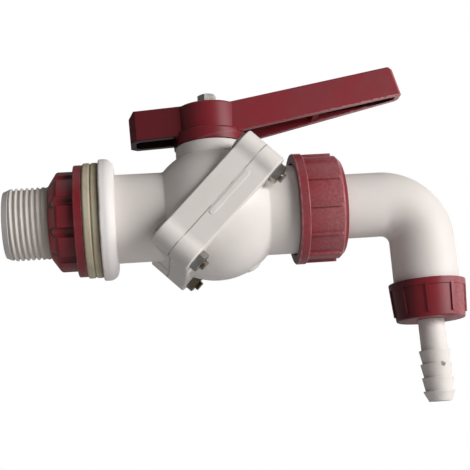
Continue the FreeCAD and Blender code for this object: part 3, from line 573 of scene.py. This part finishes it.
def gasket_rubber():
    """Dull beige rubber, stained in patches and darker towards the collar and at the joints."""
    colours = settings().colours
    material, tree, shader, vector = plastic("beige gasket rubber", colours.gasket, colours.gasket_dull,
                                             0.62, drift=0.55, specular=0.25, grain=0.5,
                                             drift_scale=90.0)
    x = axes(tree, vector)[0]
    tint(tree, shader, ramp(tree, x, -0.0030, -0.0004, 0.0, 0.55), (0.20, 0.15, 0.09))
    for along, width in ((-0.00365, 0.0009), (-0.0073, 0.0007), (0.0, 0.0007)):
        joint = use(tree, rim_group(), {"Vector": vector, "Along": along, "Radius": 0.0266,
                                        "Width": width, "Patchiness": 0.4})
        tint(tree, shader, joint.outputs["Mask"], (0.20, 0.14, 0.08), 0.15)
    return material


def seal_rubber():
    return plastic("black seal rubber", (0.03, 0.03, 0.03), (0.05, 0.05, 0.048), 0.55, specular=0.3)[0]


def ball_plastic():
    return plastic("polished white ball", (0.78, 0.77, 0.74), (0.72, 0.71, 0.68), 0.16, drift=0.3,
                   specular=0.5, grain=0.05)[0]


def seat_plastic():
    return plastic("white seat plastic", (0.86, 0.86, 0.85), (0.80, 0.80, 0.78), 0.5, drift=0.3)[0]


def zinc_steel(name):
    """Zinc-plated steel, tarnished in patches and brown on the far side."""
    colours = settings().colours
    material, tree, shader, vector = new_material(name)
    surface = use(tree, moulding_group(), {
        "Vector": vector, "Colour": rgba(colours.steel), "Dull Colour": rgba(colours.steel_dull),
        "Drift Scale": 170.0, "Drift": 0.75, "Grain Scale": 3000.0, "Roughness": 0.30,
        "Roughness Drift": 0.25})
    dress_shader(tree, shader, surface, 0.5, 0.00006)
    far_side = axes(tree, vector)[1]
    tint(tree, shader, ramp(tree, far_side, 0.0100, 0.0180, 0.0, 0.75), (0.10, 0.062, 0.025))
    shader.inputs["Metallic"].default_value = 1.0
    return material


def dress(material, *names):
    """Gives the CAD nodes a material."""
    for name in names:
        slots = NODES[name].material_slots
        if not slots:
            NODES[name].data.materials.append(material)
        for slot in slots:
            slot.material = material


# The thread tree, mesh helpers and the pieces made from them

def node_socket(tree, name, kind, default):
    socket = tree.interface.new_socket(name, in_out="INPUT", socket_type="NodeSocket" + kind)
    if default is not None:
        socket.default_value = default
    return socket.identifier


# Sockets of the thread tree, in metres and turns, with the inlet thread's values
THREAD_SOCKETS = (
    ("Crest Radius", 0.0168), ("Depth", 0.00105), ("Pitch", 0.00242), ("Free End", -0.0439),
    ("Chamfer", 0.0015), ("Taper Length", 0.0036), ("Plain Length", 0.0030), ("Run-out", -0.0285),
    ("Turn", 0.0), ("Skin Radius", 0.0141))
# How softly the thread starts at its plain end, and how far it takes to run out at the nut
THREAD_LEAD = 0.0006
THREAD_RUN_OUT = 0.003


def thread_tree():
    """Geometry nodes that press a right-handed thread into the outside of a plain tube along X."""
    tree = bpy.data.node_groups.new("Thread on a tube", "GeometryNodeTree")
    node_socket(tree, "Geometry", "Geometry", None)
    names = {label: node_socket(tree, label, "Float", value) for label, value in THREAD_SOCKETS}
    names["Material"] = node_socket(tree, "Material", "Material", None)
    tree.interface.new_socket("Geometry", in_out="OUTPUT", socket_type="NodeSocketGeometry")
    ins = tree.nodes.new("NodeGroupInput").outputs
    outs = tree.nodes.new("NodeGroupOutput")
    x, y, z = axes(tree, put(tree, "GeometryNodeInputPosition").outputs[0])
    radius = hypotenuse(tree, y, z)
    turn = maths(tree, "ADD", maths(tree, "DIVIDE", maths(tree, "ARCTAN2", z, y), 2 * math.pi),
                 ins["Turn"])
    phase = maths(tree, "FRACT", maths(tree, "SUBTRACT", maths(tree, "DIVIDE", x, ins["Pitch"]), turn))
    flank = maths(tree, "ABSOLUTE", maths(tree, "MULTIPLY_ADD", phase, 2.0, -1.0))
    ridge = ramp(tree, flank, 0.06, 0.94)
    plain_end = maths(tree, "ADD", ins["Free End"], ins["Plain Length"])
    cut = ramp(tree, x, maths(tree, "SUBTRACT", plain_end, THREAD_LEAD), plain_end)
    fade = ramp(tree, x, ins["Run-out"], maths(tree, "ADD", ins["Run-out"], THREAD_RUN_OUT), 1.0, 0.3)
    depth = times(tree, ins["Depth"], times(tree, cut, fade))
    lift = maths(tree, "MULTIPLY_ADD", maths(tree, "SUBTRACT", ridge, 1.0), depth, ins["Crest Radius"])
    slope = maths(tree, "DIVIDE", ins["Chamfer"], ins["Taper Length"])
    lead = maths(tree, "MULTIPLY_ADD", maths(tree, "SUBTRACT", x, ins["Free End"]), slope,
                 maths(tree, "SUBTRACT", ins["Crest Radius"], ins["Chamfer"]))
    share = maths(tree, "DIVIDE", maths(tree, "MINIMUM", lift, lead), radius)
    placed = put(tree, "ShaderNodeCombineXYZ", {
        "X": x, "Y": times(tree, y, share), "Z": times(tree, z, share)}).outputs[0]
    skin = maths(tree, "GREATER_THAN", radius, ins["Skin Radius"])
    moved = put(tree, "GeometryNodeSetPosition", {"Geometry": ins["Geometry"], "Selection": skin,
                                                  "Position": placed})
    real = put(tree, "GeometryNodeRealizeInstances", {"Geometry": moved.outputs[0]})
    finish = put(tree, "GeometryNodeSetMaterial", {"Geometry": real.outputs[0],
                                                   "Material": ins["Material"]})
    tree.links.new(finish.outputs[0], outs.inputs[0])
    return tree, names


def new_piece(name, bm):
    """Turns a bmesh into an object at the origin."""
    bmesh.ops.recalc_face_normals(bm, faces=bm.faces)
    mesh = bpy.data.meshes.new(name)
    bm.to_mesh(mesh)
    bm.free()
    if "custom_normal" in mesh.attributes:
        mesh.attributes.remove(mesh.attributes["custom_normal"])
    piece = bpy.data.objects.new(name, mesh)
    bpy.context.collection.objects.link(piece)
    return piece


def skin_loops(bm, loops, closed):
    """Joins loops of corners by faces: into a ring if closed, else capped at its ends."""
    count = len(loops[0])
    for a, b in zip(loops, loops[1:] + loops[:1] if closed else loops[1:]):
        for k in range(count):
            n = (k + 1) % count
            bm.faces.new((a[k], a[n], b[n], b[k]))
    if not closed:
        bm.faces.new(loops[0])
        bm.faces.new(loops[-1])


def add_turned(bm, profile, segments, closed=True):
    """Adds a form turned about X from (x, radius) points: a ring if closed, else capped at its ends."""
    loops = []
    for x, r in profile:
        loops.append([bm.verts.new((x, r * math.cos(2 * math.pi * k / segments),
                                    r * math.sin(2 * math.pi * k / segments)))
                      for k in range(segments)])
    skin_loops(bm, loops, closed)


def thread_blank(name, x0, x1, inner, outer, segments, rings):
    """A tube or rod along X whose outside is divided finely enough to take a thread."""
    profile = [(x0 + (x1 - x0) * k / rings, outer) for k in range(rings + 1)]
    if inner:
        profile += [(x1, inner), (x0, inner)]
    bm = bmesh.new()
    add_turned(bm, profile, segments, closed=bool(inner))
    return new_piece(name, bm)


def add_blend(bm, side, radius, sizes):
    """Adds the moulded blend between the globe and a pipe: side is -1 at the inlet, 1 at the outlet."""
    fillet = sizes.blend_radius
    rise = radius + fillet
    run = math.sqrt((sizes.globe_radius + fillet) ** 2 - rise ** 2)
    top = math.atan2(rise, run)
    far = run + 0.004
    inside = 0.85 * radius
    points = [(far, radius - 0.0001)]
    steps = 12
    for k in range(steps + 1):
        turn = -math.pi / 2 - (math.pi / 2 - top) * k / steps
        points.append((run + fillet * math.cos(turn), rise + fillet * math.sin(turn)))
    sunk = (points[-1][0] * 0.93, points[-1][1] * 0.93)
    points += [sunk, (sunk[0], inside), (far, inside)]
    add_turned(bm, [(STEM_X + side * x, r) for x, r in points], 160)


def add_pad(bm, sizes):
    """Adds the long low pad on the near edge of the outlet plate."""
    pad = bmesh.new()
    loops = []
    straight = (sizes.pad_length - sizes.pad_width) / 2
    corners = [math.pi * (2 * k + 1) / 32 for k in range(32)]
    for height, inset in ((-0.0004, 0.0), (0.6 * sizes.pad_height, 0.0), (sizes.pad_height, 0.0004)):
        half = sizes.pad_width / 2 - inset
        loops.append([pad.verts.new((math.copysign(straight, math.cos(a)) + half * math.cos(a),
                                     -height, half * math.sin(a))) for a in corners])
    skin_loops(pad, loops, closed=False)
    add_copy(bm, pad, Matrix.Translation((STEM_X, -sizes.plate_face, 0))
             @ Matrix.Rotation(-math.pi / 4, 4, "Y")
             @ Matrix.Translation((sizes.pad_along, 0, -sizes.pad_across)))


def add_nib(bm, sizes):
    """Adds the low moulding nib under the globe's outlet side."""
    nib = bmesh.new()
    bmesh.ops.create_uvsphere(nib, u_segments=32, v_segments=20, radius=1.0)
    add_copy(bm, nib, Matrix.Translation((STEM_X, 0, 0)) @ Matrix.Rotation(sizes.nib_turn, 4, "Y")
             @ Matrix.Translation((sizes.globe_radius - 0.0001, 0, 0))
             @ Matrix.Diagonal((sizes.nib_height, 0.0022, sizes.nib_length / 2, 1.0)))


def merged_copy(node):
    """The CAD mesh of a node with its loose triangles joined."""
    bm = bmesh.new()
    bm.from_mesh(NODES[node].data)
    bmesh.ops.remove_doubles(bm, verts=bm.verts, dist=2e-7)
    return bm


def body_behind_thread(name, x, sizes):
    """A merged copy of the CAD inlet body, closed at x, with all that lies before x taken away."""
    bm = merged_copy("inlet_body")
    cut = bmesh.ops.bisect_plane(bm, geom=bm.verts[:] + bm.edges[:] + bm.faces[:], dist=1e-8,
                                 plane_co=(x, 0, 0), plane_no=(1, 0, 0), clear_inner=True)
    rims = [e for e in cut["geom_cut"] if isinstance(e, bmesh.types.BMEdge)]
    bmesh.ops.triangle_fill(bm, use_beauty=True, edges=rims, normal=(-1, 0, 0))
    add_blend(bm, -1, sizes.pipe_radius, sizes)
    return new_piece(name, bm)


def plain_mesh(piece):
    """Replaces an object's mesh by what its modifiers give, and drops the modifiers."""
    graph = bpy.context.evaluated_depsgraph_get()
    mesh = bpy.data.meshes.new_from_object(piece.evaluated_get(graph))
    piece.modifiers.clear()
    piece.data = mesh
    return piece


def cut_thread(piece, values):
    """Runs the thread tree on a blank and keeps the result as its mesh."""
    tree, sockets = thread_tree()
    modifier = piece.modifiers.new("Thread", "NODES")
    modifier.node_group = tree
    for name, value in values.items():
        modifier[sockets[name]] = value
    plain_mesh(piece)


def join_mesh(piece, other):
    """Adds the other object's mesh to the piece and drops the other object."""
    bm = bmesh.new()
    bm.from_mesh(piece.data)
    bm.from_mesh(other.data)
    bm.to_mesh(piece.data)
    bm.free()
    bpy.data.objects.remove(other)


def add_copy(target, source, place):
    """Moves the source bmesh to its place and adds it to the target."""
    source.transform(place)
    mesh = bpy.data.meshes.new("part")
    source.to_mesh(mesh)
    source.free()
    target.from_mesh(mesh)
    bpy.data.meshes.remove(mesh)


def shade_moulding(piece):
    """Smooth shading with crisp edges and flat faces that stay flat."""
    piece.data.shade_smooth()
    piece.data.set_sharp_from_angle(angle=math.radians(32))
    weighted = piece.modifiers.new("Weighted normals", "WEIGHTED_NORMAL")
    weighted.keep_sharp = True
    plain_mesh(piece)


def hand_over(piece, node):
    """Puts the piece in the place of a CAD node of the fixed body."""
    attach(piece, "valve_body")
    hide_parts(node)


class TAP_OT_inlet_thread(bpy.types.Operator):
    """Make the inlet body with its free thread"""
    bl_idname = "tap.inlet_thread"
    bl_label = "Inlet thread"

    def execute(self, context):
        sizes = settings().thread
        material = threaded_white()
        rings = round((sizes.start - sizes.end) / sizes.pitch * sizes.rings_per_pitch)
        tube = thread_blank("thread_tube", sizes.end, sizes.start, sizes.bore_radius, sizes.crest_radius,
                            sizes.segments, rings)
        cut_thread(tube, {
            "Crest Radius": sizes.crest_radius, "Depth": sizes.depth, "Pitch": sizes.pitch,
            "Free End": sizes.end, "Chamfer": sizes.chamfer, "Taper Length": sizes.taper,
            "Plain Length": sizes.plain, "Run-out": sizes.fade, "Turn": sizes.turn,
            "Skin Radius": (sizes.bore_radius + sizes.crest_radius - sizes.depth) / 2,
            "Material": material})
        body = body_behind_thread("inlet_body_threaded", sizes.start, settings().body)
        body.data.materials.append(material)
        join_mesh(body, tube)
        shade_moulding(body)
        hand_over(body, "inlet_body")
        return {"FINISHED"}


class TAP_OT_outlet_body(bpy.types.Operator):
    """Make the outlet body with its moulded blend, its nib and its pad"""
    bl_idname = "tap.outlet_body"
    bl_label = "Outlet body"

    def execute(self, context):
        sizes = settings().body
        bm = merged_copy("outlet_body")
        add_blend(bm, 1, sizes.outlet_radius, sizes)
        add_nib(bm, sizes)
        add_pad(bm, sizes)
        body = new_piece("outlet_body_moulded", bm)
        material, tree, shader, vector = white_plastic("white outlet moulding")
        add_parting(tree, shader, vector)
        body.data.materials.append(material)
        shade_moulding(body)
        hand_over(body, "outlet_body")
        return {"FINISHED"}


def add_hexagon(bm, x0, x1, flats, turn, hole=0.0):
    """Adds a hexagon along X with the outer face's corners chamfered, and a hole if one is given."""
    segments = 96
    apothem = flats / 2
    crown = apothem * 0.94
    sixth = math.radians(60)
    corner = apothem / math.cos(sixth / 2)
    sign = 1 if x1 > x0 else -1
    edges = []
    for k in range(segments):
        angle = 2 * math.pi * k / segments
        offset = (angle + sixth / 2) % sixth - sixth / 2
        reach = min(apothem / math.cos(offset), corner)
        edges.append((angle + turn, reach, (reach - crown) * math.tan(sixth / 2)))
    rings = [[(x0, r, a) for a, r, drop in edges],
             [(x1 - sign * drop, r, a) for a, r, drop in edges],
             [(x1, crown, a) for a, r, drop in edges]]
    if hole:
        rings += [[(x, hole, a) for a, r, drop in edges] for x in (x1, x0)]
    loops = [[bm.verts.new((x, r * math.cos(a), r * math.sin(a))) for x, r, a in ring]
             for ring in rings]
    skin_loops(bm, loops, closed=bool(hole))


def bolt_places(sizes):
    """The four bolt axes: each matrix takes X to the bolt's axis."""
    tilt = Matrix.Rotation(math.radians(45), 4, "Y")
    half = sizes.half_pitch
    return [Matrix.Translation((STEM_X, 0, 0)) @ tilt @ Matrix.Translation((0, v * half, u * half))
            for u in (-1, 1) for v in (-1, 1)]


class TAP_OT_bolts(bpy.types.Operator):
    """Make the bolts with their threads and the nuts"""
    bl_idname = "tap.bolts"
    bl_label = "Bolts and nuts"

    def execute(self, context):
        sizes = settings().bolts
        metal = zinc_steel("zinc bolts")
        far = sizes.plate_half
        end = far + sizes.nut_height + sizes.stud_end
        free = 2 * sizes.stud_end
        stud = thread_blank("stud", 0, free, 0, sizes.radius, 48, round(free / sizes.pitch * 12))
        cut_thread(stud, {
            "Crest Radius": sizes.radius, "Depth": 0.6 * sizes.pitch, "Pitch": sizes.pitch,
            "Free End": 0, "Chamfer": 0.5 * sizes.pitch, "Taper Length": 0.5 * sizes.pitch,
            "Plain Length": 0.0, "Run-out": 1.0, "Turn": 0.0, "Skin Radius": 0.0, "Material": metal})
        stud.data.transform(Matrix.Translation((end, 0, 0)) @ Matrix.Rotation(math.pi, 4, "Y"))
        bolts = bmesh.new()
        nuts = bmesh.new()
        turns = (sizes.turn_a, sizes.turn_b, sizes.turn_c, sizes.turn_d)
        for turn, place in zip(turns, bolt_places(sizes)):
            bolt = bmesh.new()
            bolt.from_mesh(stud.data)
            add_hexagon(bolt, -far, -far - sizes.head_height, sizes.flats, turn)
            add_turned(bolt, [(-far - sizes.head_height / 2, sizes.radius),
                              (end - sizes.stud_end, sizes.radius)], 48, closed=False)
            add_copy(bolts, bolt, place)
            nut = bmesh.new()
            add_hexagon(nut, far, far + sizes.nut_height, sizes.flats, turn, sizes.radius + 0.00004)
            add_copy(nuts, nut, place)
        bpy.data.objects.remove(stud)
        for name, bm, node in (("bolts_threaded", bolts, "flange_bolts"),
                               ("nuts_chamfered", nuts, "flange_nuts")):
            piece = new_piece(name, bm)
            piece.data.materials.append(metal)
            shade_moulding(piece)
            hand_over(piece, node)
        return {"FINISHED"}


# Operators that finish the CAD pieces, and the rib that is added to the lever

class TAP_OT_white_mouldings(bpy.types.Operator):
    """Finish the elbow and the hose tail"""
    bl_idname = "tap.white_mouldings"
    bl_label = "White mouldings"

    def execute(self, context):
        dress(white_plastic()[0], "elbow")
        dress(hose_white(), "hose_tail")
        return {"FINISHED"}


class TAP_OT_crimson_mouldings(bpy.types.Operator):
    """Finish the lever and the three nuts"""
    bl_idname = "tap.crimson_mouldings"
    bl_label = "Crimson mouldings"

    def execute(self, context):
        dress(crimson_lever(), "lever_handle")
        dress(lock_nut_crimson(), "tank_lock_nut")
        dress(union_nut_crimson(), "union_nut")
        dress(tail_nut_crimson(), "tail_nut")
        return {"FINISHED"}


class TAP_OT_lever_rib(bpy.types.Operator):
    """Make the lower part of the cross rib in the long arm"""
    bl_idname = "tap.lever_rib"
    bl_label = "Lever rib"

    def execute(self, context):
        sizes = settings().lever
        bm = bmesh.new()
        bmesh.ops.create_cube(bm, size=1.0)
        low = sizes.rim_depth - sizes.rib_gap
        place = (Matrix.Translation((STEM_X, 0, sizes.arm_top))
                 @ Matrix.Rotation(-sizes.rise, 4, "Y")
                 @ Matrix.Translation((sizes.rib_place, 0, -(low + sizes.rib_top) / 2))
                 @ Matrix.Diagonal((sizes.rib_thick, 2 * sizes.rib_half, low - sizes.rib_top, 1.0)))
        bm.transform(place)
        piece = new_piece("lever_rib", bm)
        material, tree, shader, vector = crimson_plastic("crimson rib", roughness=0.6)
        shader.inputs["Specular IOR Level"].default_value = 0.08
        piece.data.materials.append(material)
        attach(piece, "lever_and_ball")
        return {"FINISHED"}


class TAP_OT_seals(bpy.types.Operator):
    """Finish the gaskets, the seals, the seats and the ball"""
    bl_idname = "tap.seals"
    bl_label = "Gaskets, seals and ball"

    def execute(self, context):
        dress(gasket_rubber(), "tank_gasket_outer", "tank_gasket_inner")
        dress(seal_rubber(), "body_seal_ring", "seat_backing_inlet", "seat_backing_outlet",
              "stem_o_ring_lower", "stem_o_ring_upper", "union_gasket", "tail_gasket")
        dress(ball_plastic(), "ball", "stem")
        dress(seat_plastic(), "seat_ring_inlet", "seat_ring_outlet", "stem_thrust_washer")
        return {"FINISHED"}


class TAP_OT_fasteners(bpy.types.Operator):
    """Finish the lever's screw and its washer"""
    bl_idname = "tap.lever_fasteners"
    bl_label = "Lever screw"

    def execute(self, context):
        dress(zinc_steel("zinc steel"), "lever_screw", "lever_washer")
        return {"FINISHED"}


# Stage

# Soft lamps: name, place, width, height and the setting with the power; all aim at one point
LAMPS = (
    ("key lamp", (0.95, -0.70, 0.17), 0.8, 0.3, "key_power"),
    ("fill lamp", (-0.35, -0.60, -0.05), 0.5, 0.5, "fill_power"),
    ("top lamp", (0.05, -0.10, 0.60), 0.5, 0.5, "top_power"),
    ("back lamp", (0.45, 0.80, 0.25), 0.7, 0.7, "back_power"))
LAMP_AIM = (0.06, 0, 0)
FLOOR_HALF = 1.2
WHITE = (1, 1, 1, 1)
# How much of the white background glossy rays see in the room, and camera and glossy rays in the floor
ROOM_GLOSSY = 0.12
FLOOR_WHITE = 0.62
FLOOR_GLOSSY = 0.06


def soft_lamp(name, place, width, height, power):
    lamp = bpy.data.lights.new(name, "AREA")
    lamp.shape = "RECTANGLE"
    lamp.size = width
    lamp.size_y = height
    lamp.energy = power
    rig = bpy.data.objects.new(name, lamp)
    bpy.context.collection.objects.link(rig)
    rig.location = place
    rig.rotation_euler = (Vector(LAMP_AIM) - Vector(place)).to_track_quat("-Z", "Y").to_euler()


def rays(tree):
    """Whether the camera or a clear piece sees the place, and whether a glossy one does."""
    path = tree.nodes.new("ShaderNodeLightPath").outputs
    return (maths(tree, "MAXIMUM", path["Is Camera Ray"], path["Is Transmission Ray"]),
            path["Is Glossy Ray"])


def pale_world(ambient):
    """An even room: white where the camera or a clear piece sees it, dimmer as light."""
    world = bpy.data.worlds.new("Pale room")
    bpy.context.scene.world = world
    world.use_nodes = True
    tree = world.node_tree
    tree.nodes.clear()
    seen, glossy = rays(tree)
    light = maths(tree, "MULTIPLY_ADD", glossy, ROOM_GLOSSY, ambient)
    room = put(tree, "ShaderNodeBackground", {"Color": WHITE, "Strength": light})
    backdrop = put(tree, "ShaderNodeBackground", {"Color": WHITE, "Strength": 1.0})
    mix = put(tree, "ShaderNodeMixShader", {0: seen, 1: room.outputs[0], 2: backdrop.outputs[0]})
    out = tree.nodes.new("ShaderNodeOutputWorld")
    tree.links.new(mix.outputs[0], out.inputs["Surface"])


def pale_floor(height):
    """A pale floor that turns whiter where the camera sees it and keeps the tap's shadow."""
    bm = bmesh.new()
    bmesh.ops.create_grid(bm, x_segments=1, y_segments=1, size=FLOOR_HALF)
    for v in bm.verts:
        v.co.z = height
    mesh = bpy.data.meshes.new("floor")
    bm.to_mesh(mesh)
    bm.free()
    floor = bpy.data.objects.new("floor", mesh)
    bpy.context.collection.objects.link(floor)
    material = bpy.data.materials.new("pale floor")
    material.use_nodes = True
    tree = material.node_tree
    shader = tree.nodes["Principled BSDF"]
    shader.inputs["Base Color"].default_value = (0.9, 0.9, 0.9, 1)
    shader.inputs["Roughness"].default_value = 0.9
    seen, glossy = rays(tree)
    share = maths(tree, "MULTIPLY_ADD", seen, FLOOR_WHITE, times(tree, glossy, FLOOR_GLOSSY))
    glow = put(tree, "ShaderNodeEmission", {"Color": WHITE, "Strength": 1.0})
    mix = put(tree, "ShaderNodeMixShader", {0: share, 1: shader.outputs[0], 2: glow.outputs[0]})
    tree.links.new(mix.outputs[0], tree.nodes["Material Output"].inputs["Surface"])
    mesh.materials.append(material)


class TAP_OT_stage(bpy.types.Operator):
    """Set the floor, the soft light and the camera"""
    bl_idname = "tap.stage"
    bl_label = "Stage"

    def execute(self, context):
        stage = settings().stage
        pale_world(stage.ambient)
        pale_floor(stage.floor_height)
        for name, place, width, height, power in LAMPS:
            soft_lamp(name, place, width, height, getattr(stage, power))
        lens = bpy.data.cameras.new("camera")
        lens.lens = stage.camera_lens
        lens.sensor_width = 36
        camera = bpy.data.objects.new("camera", lens)
        context.collection.objects.link(camera)
        camera.location = stage.camera_place
        camera.rotation_euler = Euler(stage.camera_turn, "XYZ")
        context.scene.camera = camera
        context.scene.view_settings.view_transform = "Standard"
        return {"FINISHED"}


OPERATORS = (TAP_OT_inlet_thread, TAP_OT_outlet_body, TAP_OT_bolts, TAP_OT_white_mouldings,
             TAP_OT_crimson_mouldings, TAP_OT_seals, TAP_OT_lever_rib, TAP_OT_fasteners,
             TAP_OT_stage)


class TAP_PT_panel(bpy.types.Panel):
    """Everything that dresses the tap"""
    bl_idname = "TAP_PT_panel"
    bl_label = "Vat Drain Tap"
    bl_space_type = "VIEW_3D"
    bl_region_type = "UI"
    bl_category = "Tap"

    def draw(self, context):
        tap = settings()
        for title in ("thread", "body", "bolts", "lever", "colours", "stage"):
            group = getattr(tap, title)
            box = self.layout.box()
            box.label(text=title.capitalize())
            for name in group.__annotations__:
                box.prop(group, name)
        for operator in OPERATORS:
            self.layout.operator(operator.bl_idname)


GROUPS = (ThreadSizes, BodySizes, BoltSizes, LeverSizes, FinishColours, StageSettings, DrainTap)
CLASSES = GROUPS + OPERATORS + (TAP_PT_panel,)


def register():
    for cls in CLASSES:
        bpy.utils.register_class(cls)
    bpy.types.Scene.drain_tap = PointerProperty(type=DrainTap)


def unregister():
    del bpy.types.Scene.drain_tap
    for cls in reversed(CLASSES):
        bpy.utils.unregister_class(cls)


def main():
    register()
    for operator in OPERATORS:
        name = operator.bl_idname.split(".")[1]
        getattr(bpy.ops.tap, name)()


if __name__ == "__main__":
    main()
